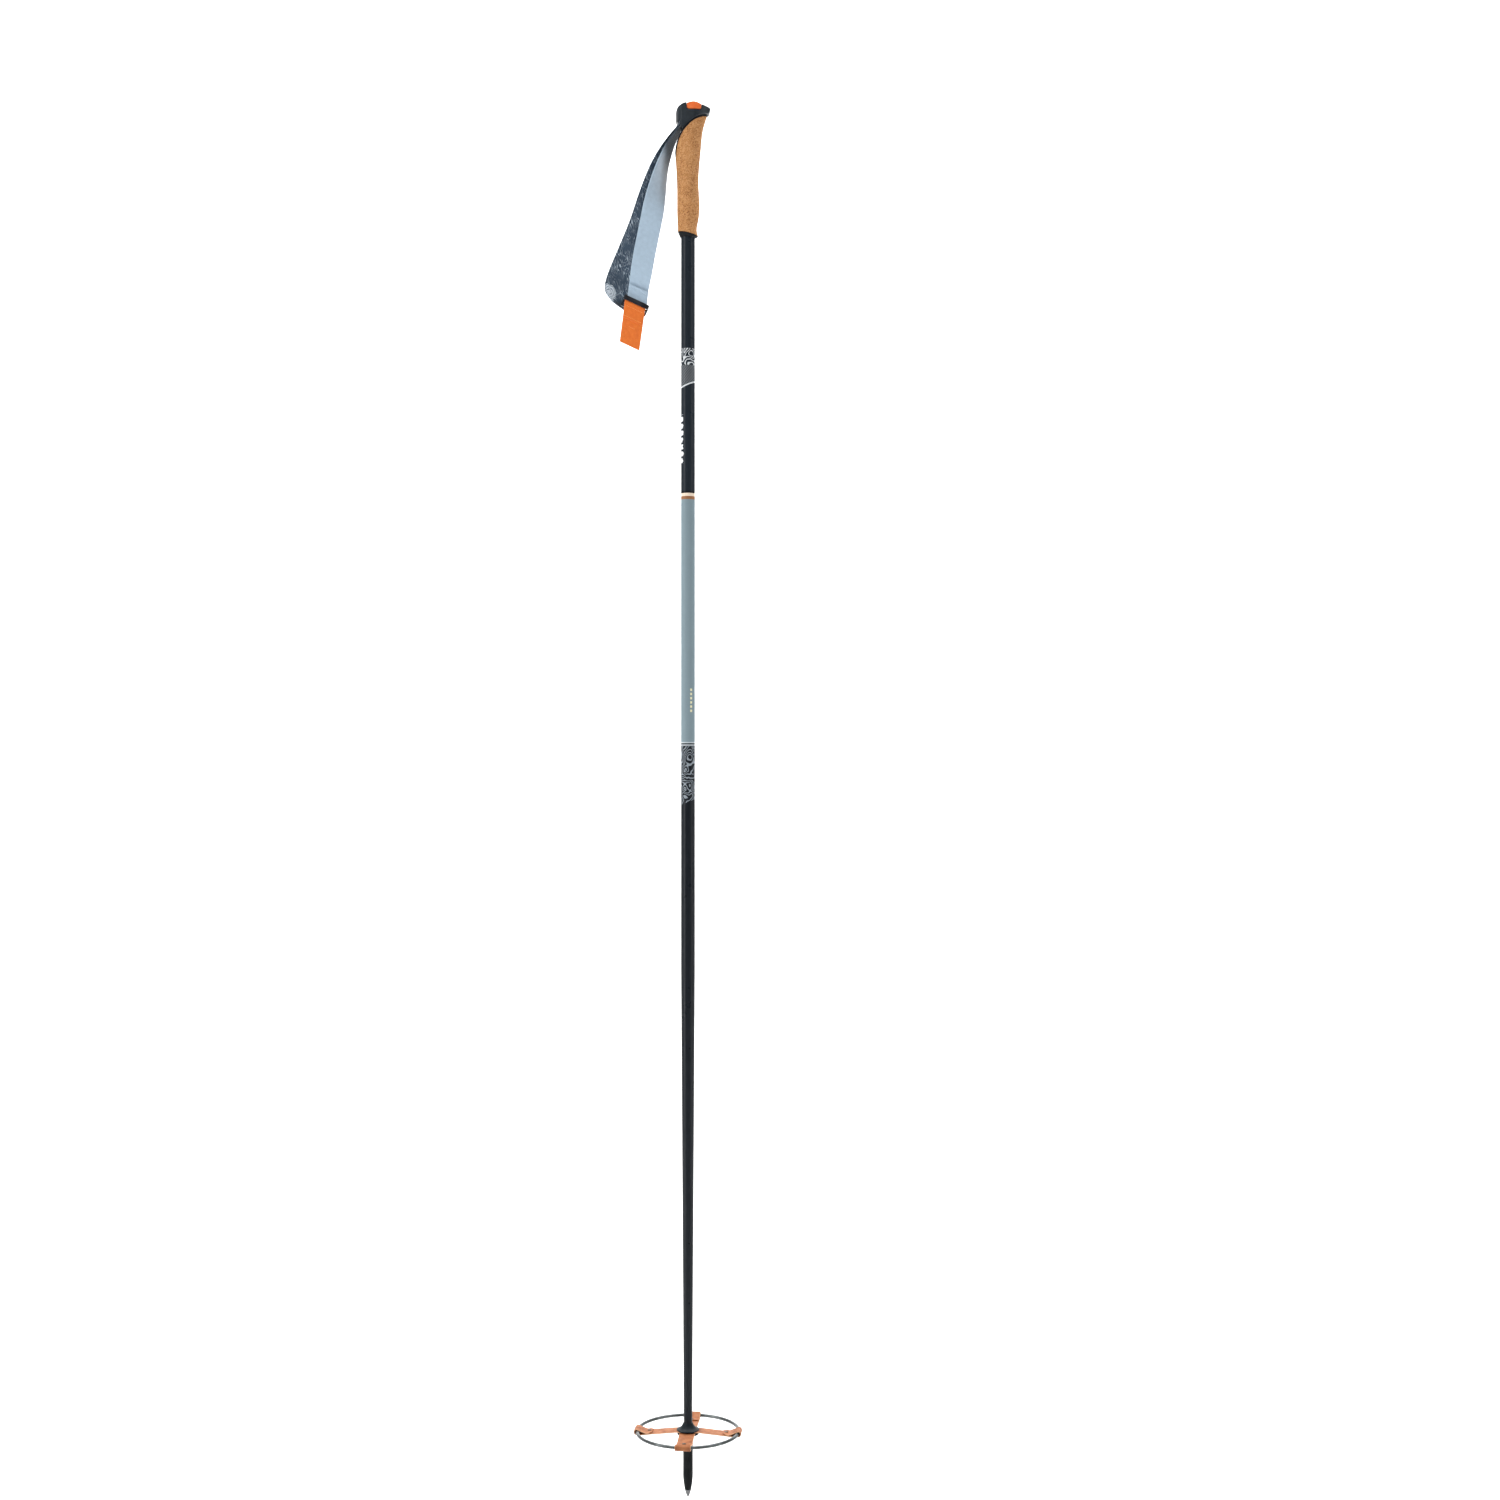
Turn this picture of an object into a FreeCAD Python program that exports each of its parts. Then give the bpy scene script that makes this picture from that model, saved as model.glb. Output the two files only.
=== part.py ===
"""Touring ski pole: fixed-length aluminium shaft, cork grip, wrist strap and leather basket.

Millimetres. The origin is the point of the tip, +Z runs up the shaft and +X is the front of
the grip, away from the wrist strap.
"""
import FreeCAD, Part
import Sketcher
import math
import os
import re
from FreeCAD import Placement, Rotation, Vector

DOC = FreeCAD.newDocument("touring_pole")
SHEET = DOC.addObject("Spreadsheet::Sheet", "Dims")

# alias, value in millimetres or degrees
DIMENSIONS = [
    ("tube_radius", 8.0),
    ("tube_low_radius", 4.83),
    ("tube_wall", 1.0),
    ("tube_bottom", 44.0),
    ("taper_bottom", 84.0),
    ("taper_top", 600.0),
    ("tube_top", 1540.0),
    ("glue_gap", 0.02),
    ("spike_point_radius", 0.4),
    ("spike_radius", 3.7),
    ("spike_length", 9.0),
    ("spike_shank_radius", 2.2),
    ("spike_shank_top", 30.0),
    ("ferrule_radius", 5.6),
    ("ferrule_shoulder", 25.0),
    ("ferrule_top", 80.0),
    ("ferrule_flange_radius", 8.5),
    ("ferrule_flange_bottom", 69.8),
    ("ferrule_flange_top", 71.4),
    ("snap_groove_bottom", 74.0),
    ("snap_groove_top", 75.8),
    ("snap_groove_radius", 5.2),
    ("running_gap", 0.06),
    ("snap_play", 0.2),
    ("nose_swell", 1.25),
    ("nose_rise", 7.0),
    ("hub_sleeve_radius", 7.4),
    ("hub_flange_radius", 12.2),
    ("hub_bottom", 71.8),
    ("hub_top", 80.4),
    ("cone_radius", 12.8),
    ("cone_rim", 1.0),
    ("cone_top", 84.6),
    ("cone_top_radius", 5.9),
    ("cone_bore_radius", 5.05),
    ("cone_headroom", 0.5),
    ("cone_flank_out", 2.8),
    ("cone_flank_down", 4.4),
    ("ring_radius", 57.6),
    ("ring_wire_radius", 1.9),
    ("ring_height", 75.0),
    ("leather_thickness", 1.4),
    ("leather_width", 18.0),
    ("leather_loop_radius", 2.2),
    ("leather_bottom", 73.6),
    ("leather_end", 40.0),
    ("leather_fold", 47.0),
    ("arm_root", 14.2),
    ("arm_low", 51.6),
    ("loop_flat", 3.0),
    ("fold_gap", 0.05),
    ("rivet_place", 43.5),
    ("rivet_radius", 1.5),
    ("rivet_head_radius", 2.6),
    ("rivet_head_height", 0.9),
    ("rivet_lift", 0.3),
    ("basket_turn", -4.0),
    ("grip_bottom", 1433.2),
    ("grip_bottom_radius", 12.0),
    ("grip_bottom_tilt", 13.0),
    ("collar_bottom", 1429.0),
    ("collar_radius", 8.6),
    ("sleeve_radius", 10.0),
    ("core_inset", 3.0),
    ("core_top_cover", 24.0),
    ("seam_centre_x", 34.7),
    ("seam_centre_z", 1520.5),
    ("seam_radius", 47.9),
    ("seam_lip", 1.8),
    ("head_half_width", 15.0),
    ("head_rear", 14.0),
    ("head_nose", 26.0),
    ("head_nose_half_width", 6.5),
    ("nose_straight", 3.0),
    ("cheek_forward", 8.0),
    ("cheek_inset", 2.8),
    ("notch_front", 15.6),
    ("notch_rear", 1.2),
    ("notch_bottom", 1571.2),
    ("notch_round", 3.0),
    ("wedge_gap", 0.8),
    ("wedge_round", 2.6),
    ("wedge_front", 15.2),
    ("wedge_rear", 0.8),
    ("wedge_bottom", 1572.0),
    ("wedge_front_height", 5.8),
    ("wedge_rear_height", 6.4),
    ("wedge_height", 8.4),
    ("tongue_rear", 1.0),
    ("tongue_front", 6.5),
    ("tongue_bottom", 1565.3),
    ("tongue_half_width", 8.5),
    ("tongue_play", 0.3),
    ("pin_radius", 1.5),
    ("pin_length", 28.0),
    ("pin_depth", 12.6),
    ("root_loop_radius", 4.2),
    ("root_thickness", 3.2),
    ("root_width", 24.6),
    ("root_start", 2.2),
    ("slot_thickness", 4.2),
    ("slot_width", 26.0),
    ("strap_exit_x", -10.1),
    ("strap_exit_z", 1554.0),
    ("strap_exit_angle", 28.0),
    ("webbing_width", 25.0),
    ("webbing_thickness", 1.4),
    ("layer_offset", 0.9),
    ("lining_thickness", 0.8),
    ("buckle_x", -57.5),
    ("buckle_y", -4.0),
    ("buckle_z", 1356.0),
    ("buckle_turn", 25.0),
    ("buckle_half_width", 15.2),
    ("buckle_slot_half_width", 13.2),
    ("buckle_thickness", 3.0),
    ("bar_half_height", 1.1),
    ("buckle_middle_top", 4.3),
    ("buckle_middle_bottom", 6.3),
    ("buckle_low_slot", 9.8),
    ("buckle_height", 11.6),
    ("bridge_foot", 4.0),
    ("bridge_start", 1.0),
    ("bridge_depth", 4.2),
    ("bridge_wall", 1.2),
    ("bar_loop_radius", 2.9),
    ("buckle_side_gap", 0.5),
    ("turnback_length", 20.0),
    ("turnback_short", 5.0),
    ("tail_depth", 3.0),
    ("tail_height", 8.3),
    ("tab_thickness", 2.0),
    ("tab_top", 5.8),
    ("tab_length", 44.7),
    ("tab_lean", 14.0),
    ("tab_front", 1.8),
]
NAMES = {entry[0] for entry in DIMENSIONS}
PARTS = []


def fill_sheet():
    """Write every driving dimension into the sheet under its own name."""
    for row, (alias, value) in enumerate(DIMENSIONS, start=1):
        SHEET.set("A%d" % row, alias)
        SHEET.set("B%d" % row, str(value))
        SHEET.setAlias("B%d" % row, alias)
    DOC.recompute()


def bound(expression):
    """The expression with the sheet named in front of each of its dimensions."""
    return re.sub(r"[a-z_]+", lambda word: "Dims." * (word.group() in NAMES) + word.group(), str(expression))


def size(expression):
    """Value of an expression written with the sheet's dimensions."""
    return float(SHEET.evalExpression(bound(expression)))


def bind(feature, **expressions):
    """Tie properties of a feature to expressions on the sheet."""
    for name, expression in expressions.items():
        feature.setExpression(name, bound(expression))
    return feature


def keep(feature, node):
    """Give the finished feature its sub-part name and list it for export."""
    feature.Label = node
    PARTS.append(feature)
    return feature


def primitive(kind, name, centre=(0, 0, 0), axis=Vector(0, 0, 1), **expressions):
    """Part primitive with bound sizes, its own Z axis turned onto the given axis."""
    feature = DOC.addObject("Part::" + kind, name)
    bind(feature, **expressions)
    feature.Placement = Placement(Vector(*[size(value) for value in centre]), Rotation(Vector(0, 0, 1), axis))
    return feature


def cut(name, base, tool):
    """Base with the tool taken away."""
    feature = DOC.addObject("Part::Cut", name)
    feature.Base = base
    feature.Tool = tool
    return feature


def fuse(name, *shapes):
    """One solid from several that share material."""
    feature = DOC.addObject("Part::MultiFuse", name)
    feature.Shapes = list(shapes)
    return feature


def common(name, *shapes):
    """The material that all shapes share."""
    feature = DOC.addObject("Part::MultiCommon", name)
    feature.Shapes = list(shapes)
    return feature


def pin_to(sketch, edge, end, corner):
    """Hold one end of a sketch edge at the place that two expressions give."""
    for kind, axis, expression in (("DistanceX", -2, corner[0]), ("DistanceY", -1, corner[1])):
        value = size(expression)
        if abs(value) < 1e-9:
            sketch.addConstraint(Sketcher.Constraint("PointOnObject", edge, end, axis))
            continue
        index = sketch.addConstraint(Sketcher.Constraint(kind, -1, 1, edge, end, value))
        sketch.setExpression("Constraints[%d]" % index, bound(expression))


def draw_outline(sketch, corners, bulges=None):
    """Closed loop through the corners; bulges gives the point an edge's arc passes."""
    bulges = bulges or {}
    places = [Vector(size(across), size(up), 0) for across, up in corners]
    edges = []
    for number, start in enumerate(places):
        finish = places[(number + 1) % len(places)]
        if number in bulges:
            middle = Vector(size(bulges[number][0]), size(bulges[number][1]), 0)
            clockwise = (middle - start).cross(finish - middle).z < 0
            shape = Part.Arc(finish, middle, start) if clockwise else Part.Arc(start, middle, finish)
        else:
            shape = Part.LineSegment(start, finish)
        edge = sketch.addGeometry(shape)
        drawn = sketch.Geometry[edge]
        flipped = drawn.StartPoint.distanceToPoint(start) > 1e-6
        edges.append((edge, 2 if flipped else 1, 1 if flipped else 2))
        if number in bulges:
            upright = abs(finish.y - start.y) > abs(finish.x - start.x)
            kind = "DistanceX" if upright else "DistanceY"
            offset = drawn.Center.x if upright else drawn.Center.y
            sketch.addConstraint(Sketcher.Constraint(kind, -1, 1, edge, 3, offset))
    for number, (edge, first, last) in enumerate(edges):
        following, following_first, following_last = edges[(number + 1) % len(edges)]
        sketch.addConstraint(Sketcher.Constraint("Coincident", edge, last, following, following_first))
        pin_to(sketch, edge, first, corners[number])


def body_sketch(body, name, role):
    """Empty sketch on one of the body's own origin planes."""
    sketch = body.newObject("Sketcher::SketchObject", name)
    plane = [item for item in body.Origin.OriginFeatures if item.Role == role][0]
    sketch.AttachmentSupport = (plane, [""])
    sketch.MapMode = "FlatFace"
    return sketch


def turned(name, corners, bulges=None):
    """Body made by turning a half profile about Z."""
    body = DOC.addObject("PartDesign::Body", name)
    sketch = body_sketch(body, name + "_profile", "XZ_Plane")
    draw_outline(sketch, corners, bulges)
    turn = body.newObject("PartDesign::Revolution", name + "_turn")
    turn.Profile = sketch
    turn.ReferenceAxis = (sketch, ["V_Axis"])
    turn.Angle = 360
    return body


def padded(name, role, depth, corners, bulges=None, holes=()):
    """Body made by padding an outline evenly to both sides of its plane."""
    body = DOC.addObject("PartDesign::Body", name)
    sketch = body_sketch(body, name + "_outline", role)
    draw_outline(sketch, corners, bulges)
    for hole, hole_bulges in holes:
        draw_outline(sketch, hole, hole_bulges)
    pad = body.newObject("PartDesign::Pad", name + "_pad")
    pad.Profile = sketch
    pad.Midplane = True
    bind(pad, Length=depth)
    return body


def make_shaft():
    """Drawn tube, parallel in its upper part and tapered towards the tip."""
    keep(turned("shaft_tube", [
        ("tube_low_radius", "tube_bottom"),
        ("tube_low_radius", "taper_bottom"),
        ("tube_radius", "taper_top"),
        ("tube_radius", "tube_top"),
        ("tube_radius - tube_wall", "tube_top"),
        ("tube_radius - tube_wall", "taper_top"),
        ("tube_low_radius - tube_wall", "taper_bottom"),
        ("tube_low_radius - tube_wall", "tube_bottom"),
    ]), "shaft_tube")


def make_tip():
    """Steel spike pressed into the ferrule that carries the basket."""
    keep(turned("tip_spike", [
        (0, 0),
        ("spike_point_radius", 0),
        ("spike_radius", "spike_length"),
        ("spike_shank_radius", "spike_length"),
        ("spike_shank_radius", "spike_shank_top"),
        (0, "spike_shank_top"),
    ], {1: ("spike_radius * 0.68", "spike_length * 0.5")}), "tip_spike")
    keep(turned("tip_ferrule", [
        ("spike_shank_radius + glue_gap", "spike_length"),
        ("spike_radius", "spike_length"),
        ("ferrule_radius", "ferrule_shoulder"),
        ("ferrule_radius", "ferrule_flange_bottom"),
        ("ferrule_flange_radius", "ferrule_flange_bottom"),
        ("ferrule_flange_radius", "ferrule_flange_top"),
        ("ferrule_radius", "ferrule_flange_top"),
        ("ferrule_radius", "snap_groove_bottom"),
        ("snap_groove_radius", "snap_groove_bottom"),
        ("snap_groove_radius", "snap_groove_top"),
        ("ferrule_radius", "snap_groove_top"),
        ("ferrule_radius", "ferrule_top"),
        ("tube_low_radius + glue_gap", "ferrule_top"),
        ("tube_low_radius + glue_gap", "tube_bottom"),
        (0, "tube_bottom"),
        (0, "spike_shank_top"),
        ("spike_shank_radius + glue_gap", "spike_shank_top"),
    ], {1: ("spike_radius + nose_swell", "spike_length + nose_rise")}), "tip_ferrule")


def make_hub():
    """Basket hub that snaps into the ferrule's groove, and the cone pressed over its sleeve."""
    keep(turned("basket_hub", [
        ("ferrule_radius + running_gap", "hub_bottom"),
        ("hub_flange_radius", "hub_bottom"),
        ("hub_flange_radius", "leather_bottom"),
        ("hub_sleeve_radius", "leather_bottom"),
        ("hub_sleeve_radius", "hub_top"),
        ("ferrule_radius + running_gap", "hub_top"),
        ("ferrule_radius + running_gap", "snap_groove_top - snap_play"),
        ("snap_groove_radius + running_gap", "snap_groove_top - snap_play"),
        ("snap_groove_radius + running_gap", "snap_groove_bottom + snap_play"),
        ("ferrule_radius + running_gap", "snap_groove_bottom + snap_play"),
    ]), "basket_hub")
    keep(turned("hub_cone", [
        ("hub_sleeve_radius + glue_gap", "leather_bottom + 2 * leather_thickness"),
        ("cone_radius", "leather_bottom + 2 * leather_thickness"),
        ("cone_radius", "leather_bottom + 2 * leather_thickness + cone_rim"),
        ("cone_top_radius", "cone_top"),
        ("cone_bore_radius", "cone_top"),
        ("cone_bore_radius", "hub_top + cone_headroom"),
        ("hub_sleeve_radius + glue_gap", "hub_top + cone_headroom"),
    ], {2: ("cone_top_radius + cone_flank_out", "cone_top - cone_flank_down")}), "hub_cone")


def arm_height(level, place):
    """Height of the underside of a strap arm, level at the hub and sloping to pass below the ring."""
    slope = "((%s) - ring_height + leather_loop_radius + leather_thickness) / (arm_low - arm_root)" % level
    return "((%s) - (%s - arm_root) * %s)" % (level, place, slope)


def cross_strap(node, level, turn):
    """Leather strap across the hub, its ends drawn round the ring and riveted back on top."""
    fold = arm_height(level, "leather_fold")
    end = arm_height(level, "leather_end")
    outer = [
        (0, level),
        ("arm_root", level),
        ("arm_low", "ring_height - leather_loop_radius - leather_thickness"),
        ("ring_radius", "ring_height - leather_loop_radius - leather_thickness"),
        ("ring_radius", "ring_height + leather_loop_radius + leather_thickness"),
        ("ring_radius - loop_flat", "ring_height + leather_loop_radius + leather_thickness"),
        ("leather_fold", fold + " + 2 * leather_thickness"),
        ("leather_end", end + " + 2 * leather_thickness"),
        ("leather_end", end + " + leather_thickness"),
        ("arm_root", "(%s) + leather_thickness" % level),
        (0, "(%s) + leather_thickness" % level),
    ]
    loop = [
        ("arm_low", "ring_height - leather_loop_radius"),
        ("ring_radius", "ring_height - leather_loop_radius"),
        ("ring_radius", "ring_height + leather_loop_radius"),
        ("ring_radius - loop_flat", "ring_height + leather_loop_radius"),
        ("leather_fold", fold + " + leather_thickness + fold_gap"),
    ]
    half = padded(node + "_half", "XZ_Plane", "leather_width", outer,
                  {3: ("ring_radius + leather_loop_radius + leather_thickness", "ring_height")},
                  [(loop, {1: ("ring_radius + leather_loop_radius", "ring_height")})])
    twin = DOC.addObject("Part::Mirroring", node + "_other_half")
    twin.Source = half
    twin.Normal = Vector(1, 0, 0)
    bore = primitive("Cylinder", node + "_bore", (0, 0, 0), Radius="hub_sleeve_radius + glue_gap",
                     Height="2 * ring_height")
    tools = [bore]
    for side in (-1, 1):
        tools.append(primitive("Cylinder", node + "_rivet_hole", ("%d * rivet_place" % side, 0, 0),
                               Radius="rivet_radius + glue_gap", Height="2 * ring_height"))
    strap = cut(node, fuse(node + "_blank", half, twin), fuse(node + "_holes", *tools))
    strap.Placement = Placement(Vector(), Rotation(Vector(0, 0, 1), size("basket_turn") + turn))
    return keep(strap, node)


def make_rivets(levels):
    """Four rivets, one through the folded end of each strap arm."""
    rivets = []
    for number in range(4):
        level = levels[number % 2]
        turn = math.radians(size("basket_turn") + 90 * number)
        place = (size("rivet_place") * math.cos(turn), size("rivet_place") * math.sin(turn))
        under = arm_height(level, "rivet_place")
        shank = primitive("Cylinder", "rivet_shank", place + (under + " - rivet_head_height",),
                          Radius="rivet_radius", Height="2 * leather_thickness + 2 * rivet_head_height")
        head = primitive("Cylinder", "rivet_head", place + (under + " + 2 * leather_thickness + rivet_lift",),
                         Radius="rivet_head_radius", Height="rivet_head_height")
        foot = primitive("Cylinder", "rivet_foot", place + (under + " - rivet_lift - rivet_head_height",),
                         Radius="rivet_head_radius", Height="rivet_head_height")
        rivets.append(fuse("rivet", shank, head, foot))
    group = DOC.addObject("Part::Compound", "strap_rivets")
    group.Links = rivets
    keep(group, "strap_rivets")


def make_basket():
    """Wire ring hung in two crossing leather straps."""
    ring = primitive("Torus", "basket_ring", (0, 0, "ring_height"), Radius1="ring_radius",
                     Radius2="ring_wire_radius")
    keep(ring, "basket_ring")
    lower = "leather_bottom"
    upper = "(leather_bottom + leather_thickness)"
    cross_strap("cross_strap_upper", upper, 0)
    cross_strap("cross_strap_lower", lower, 90)
    make_rivets((upper, lower))


# height, rear reach, front reach and half width of the grip's sections above the slanted bottom
GRIP_SECTIONS = [
    (1450, 12.1, 12.0, 12.0),
    (1487, 12.5, 12.2, 12.2),
    (1507, 13.4, 12.6, 12.7),
    (1522, 14.5, 14.0, 13.2),
    (1538, 15.6, 15.4, 13.8),
    (1553, 16.4, 17.5, 14.2),
    (1572, 17.0, 23.4, 14.4),
]


def section(name, height, rear, front, half_width, tilt=0.0):
    """Ellipse across the grip, with its long axis fore and aft."""
    ellipse = DOC.addObject("Part::Ellipse", name)
    ellipse.MajorRadius = (rear + front) / 2
    ellipse.MinorRadius = half_width
    ellipse.Placement = Placement(Vector((front - rear) / 2, 0, height), Rotation(Vector(0, 1, 0), tilt))
    return ellipse


def grip_blank():
    """Outer form of the cork and of the seam under the head."""
    radius = size("grip_bottom_radius")
    first = section("grip_section", size("grip_bottom"), radius, radius, radius, size("grip_bottom_tilt"))
    rest = [section("grip_section", *numbers) for numbers in GRIP_SECTIONS]
    blank = DOC.addObject("Part::Loft", "grip_blank")
    blank.Sections = [first] + rest
    blank.Solid = True
    return blank


def seam_cylinder(name, extra):
    """Cylinder across the grip whose surface is the curved seam between cork and head."""
    return primitive("Cylinder", name, ("seam_centre_x", "-2 * head_half_width", "seam_centre_z"),
                     Vector(0, 1, 0), Radius="seam_radius + " + extra, Height="4 * head_half_width")


def above_seam(name):
    """Block from the seam centre's height upwards, around the whole grip."""
    return primitive("Box", name, ("-3 * head_half_width", "-2 * head_half_width", "seam_centre_z"),
                     Length="6 * head_half_width", Width="4 * head_half_width", Height="6 * head_half_width")


def make_grip():
    """Moulded core glued to the tube, cork glued round it, and the collar that closes its foot."""
    blank = grip_blank()
    outside_seam = cut("outside_seam", above_seam("cork_block"), seam_cylinder("cork_seam", "0"))
    cork = cut("cork_blank", blank, outside_seam)
    bore = primitive("Cylinder", "cork_bore", (0, 0, "grip_bottom - head_half_width"),
                     Radius="sleeve_radius + glue_gap", Height="tube_top + 4 * head_half_width - grip_bottom")
    keep(cut("cork_grip", cork, bore), "cork_grip")

    shell = cut("seam_shell", seam_cylinder("lip_outer", "seam_lip"), seam_cylinder("lip_inner", "0"))
    lip = common("seam_lip_strip", shell, blank, above_seam("lip_block"))
    post = primitive("Cylinder", "core_post", (0, 0, "grip_bottom + core_inset"), Radius="sleeve_radius",
                     Height="tube_top + core_top_cover - grip_bottom - core_inset")
    stem = common("core_stem", post, seam_cylinder("stem_top", "seam_lip / 2"))
    low_stem = primitive("Cylinder", "core_low", (0, 0, "grip_bottom + core_inset"), Radius="sleeve_radius",
                         Height="seam_centre_z - grip_bottom")
    tube_hole = primitive("Cylinder", "core_bore", (0, 0, "grip_bottom"), Radius="tube_radius + glue_gap",
                          Height="tube_top + glue_gap - grip_bottom")
    keep(cut("grip_core", fuse("core_solid", stem, low_stem, lip), tube_hole), "grip_core")

    foot = DOC.addObject("Part::Circle", "collar_foot")
    bind(foot, Radius="collar_radius")
    foot.Placement = Placement(Vector(0, 0, size("collar_bottom")), Rotation())
    rim = DOC.addObject("Part::Circle", "collar_rim")
    bind(rim, Radius="grip_bottom_radius")
    rim.Placement = Placement(Vector(0, 0, size("grip_bottom")),
                              Rotation(Vector(0, 1, 0), size("grip_bottom_tilt")))
    cone = DOC.addObject("Part::Loft", "collar_cone")
    cone.Sections = [foot, rim]
    cone.Solid = True
    hole = primitive("Cylinder", "collar_bore", (0, 0, "collar_bottom - collar_radius"),
                     Radius="tube_radius + glue_gap", Height="3 * collar_radius")
    keep(cut("grip_collar", cone, hole), "grip_collar")


def head_plan(name, inset):
    """Plan of the head, a broad rear and a narrower nose, drawn in from its edge by the inset."""
    half = "(head_half_width - %s)" % inset
    rear = "(head_rear - %s)" % inset
    nose = "(head_nose - %s)" % inset
    nose_half = "(head_nose_half_width - %s)" % inset
    corner = "(head_rear / 2)"
    corners = [
        ("-" + corner, half),
        ("-" + corner, "-" + half),
        (corner, "-" + half),
        (nose + " - nose_straight", "-" + nose_half),
        (nose + " - nose_straight", nose_half),
        (corner, half),
    ]
    bulges = {
        0: ("-" + rear, 0),
        2: (corner + " + cheek_forward", "-(" + half + " - cheek_inset)"),
        3: (nose, 0),
        4: (corner + " + cheek_forward", half + " - cheek_inset"),
    }
    body = padded(name, "XY_Plane", "500", corners, bulges)
    body.Placement = Placement(Vector(0, 0, size("seam_centre_z")), Rotation())
    return body


def exit_frame(along):
    """Place on the strap's line into the head, its Z axis pointing inwards along that line."""
    angle = size("strap_exit_angle")
    turn = Rotation(Vector(0, 1, 0), angle)
    start = Vector(size("strap_exit_x"), 0, size("strap_exit_z"))
    return Placement(start + turn.multVec(Vector(0, 0, along)), turn)


def oriented_box(name, thickness, width, start, length):
    """Flat block along the strap's line into the head."""
    block = DOC.addObject("Part::Box", name)
    bind(block, Length=thickness, Width=width, Height=length)
    inner = Placement(Vector(-size(thickness) / 2, -size(width) / 2, 0), Rotation())
    block.Placement = exit_frame(size(start)).multiply(inner)
    return block


def pin_cylinder(name, radius, length):
    """Cylinder across the head at the anchor pin."""
    centre = exit_frame(size("pin_depth")).Base
    return primitive("Cylinder", name, (centre.x, "-(%s) / 2" % length, centre.z), Vector(0, 1, 0),
                     Radius=radius, Height=length)


# x and z round the head's side, from under its rear by the nose to the rear of its top
HEAD_SIDE = [
    (-14.0, 1560.0),
    (-8.7, 1554.6),
    (2.0, 1540.0),
    (26.0, 1540.0),
    (23.7, 1568.3),
    (26.0, 1575.6),
    (16.0, 1578.0),
    (-3.5, 1579.0),
    (-10.6, 1575.8),
    (-14.0, 1569.0),
]
# points that the rounded stretches of that outline pass, by the number of their first corner
HEAD_SIDE_ARCS = {6: (6.0, 1579.5), 8: (-13.0, 1573.0)}


def cradle(name, form, front_height, rear_height, crown=None):
    """Block through the head, seen from its side: round lower corners and, if asked, an arched crown."""
    rear, front, bottom, radius = form
    inset = f"{radius} * (1 - cos(45))"
    arcs = {
        1: (f"{front} - {inset}", f"{bottom} + {inset}"),
        5: (f"-{rear} + {inset}", f"{bottom} + {inset}"),
    }
    if crown:
        arcs[3] = crown
    return padded(name, "XZ_Plane", "6 * head_half_width", [
        (f"-{rear} + {radius}", bottom),
        (f"{front} - {radius}", bottom),
        (front, f"{bottom} + {radius}"),
        (front, f"{bottom} + {front_height}"),
        (f"-{rear}", f"{bottom} + {rear_height}"),
        (f"-{rear}", f"{bottom} + {radius}"),
    ], arcs)


def make_head():
    """Head moulding with the strap slot under its rear and the seat of the lock wedge on top."""
    side = padded("head_side", "XZ_Plane", "6 * head_half_width", HEAD_SIDE, HEAD_SIDE_ARCS)
    form = common("head_form", head_plan("head_plan", "0"), side)
    solid = cut("head_on_seam", form, seam_cylinder("head_seam", "seam_lip"))
    notch = cradle("wedge_notch", ("notch_rear", "notch_front", "notch_bottom", "notch_round"),
                   "2 * head_half_width", "2 * head_half_width")
    pocket = primitive("Box", "tongue_pocket",
                       ("tongue_rear - tongue_play", "-tongue_half_width - tongue_play",
                        "tongue_bottom - tongue_play"),
                       Length="tongue_front - tongue_rear + 2 * tongue_play",
                       Width="2 * (tongue_half_width + tongue_play)", Height="2 * head_half_width")
    slot = oriented_box("strap_slot", "slot_thickness", "slot_width", "-slot_thickness",
                        "pin_depth + slot_thickness")
    chamber = pin_cylinder("pin_chamber", "root_loop_radius + tongue_play", "slot_width")
    pin_hole = pin_cylinder("pin_hole", "pin_radius + glue_gap", "pin_length")
    keep(cut("grip_head", solid, fuse("head_openings", notch, pocket, slot, chamber, pin_hole)), "grip_head")
    shaped_pin = common("pin_in_head", pin_cylinder("pin_blank", "pin_radius", "pin_length - 2 * glue_gap"),
                        head_plan("pin_limit", "wedge_gap"))
    keep(shaped_pin, "strap_anchor_pin")

    saddle_side = cradle("wedge_side", ("wedge_rear", "wedge_front", "wedge_bottom", "wedge_round"),
                         "wedge_front_height", "wedge_rear_height",
                         ("(wedge_front - wedge_rear) / 2", "wedge_bottom + wedge_height"))
    saddle = common("wedge_saddle", saddle_side, head_plan("wedge_plan", "wedge_gap"))
    tongue = primitive("Box", "wedge_tongue", ("tongue_rear", "-tongue_half_width", "tongue_bottom"),
                       Length="tongue_front - tongue_rear", Width="2 * tongue_half_width",
                       Height="wedge_bottom - tongue_bottom + wedge_gap")
    keep(fuse("strap_lock_wedge", saddle, tongue), "strap_lock_wedge")

    strip = oriented_box("root_strip", "root_thickness", "root_width", "root_start", "pin_depth - root_start")
    loop = pin_cylinder("root_loop", "root_loop_radius", "root_width")
    eye = pin_cylinder("root_eye", "pin_radius + glue_gap", "slot_width + slot_thickness")
    keep(cut("strap_root", fuse("root_blank", strip, loop), eye), "strap_root")


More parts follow.
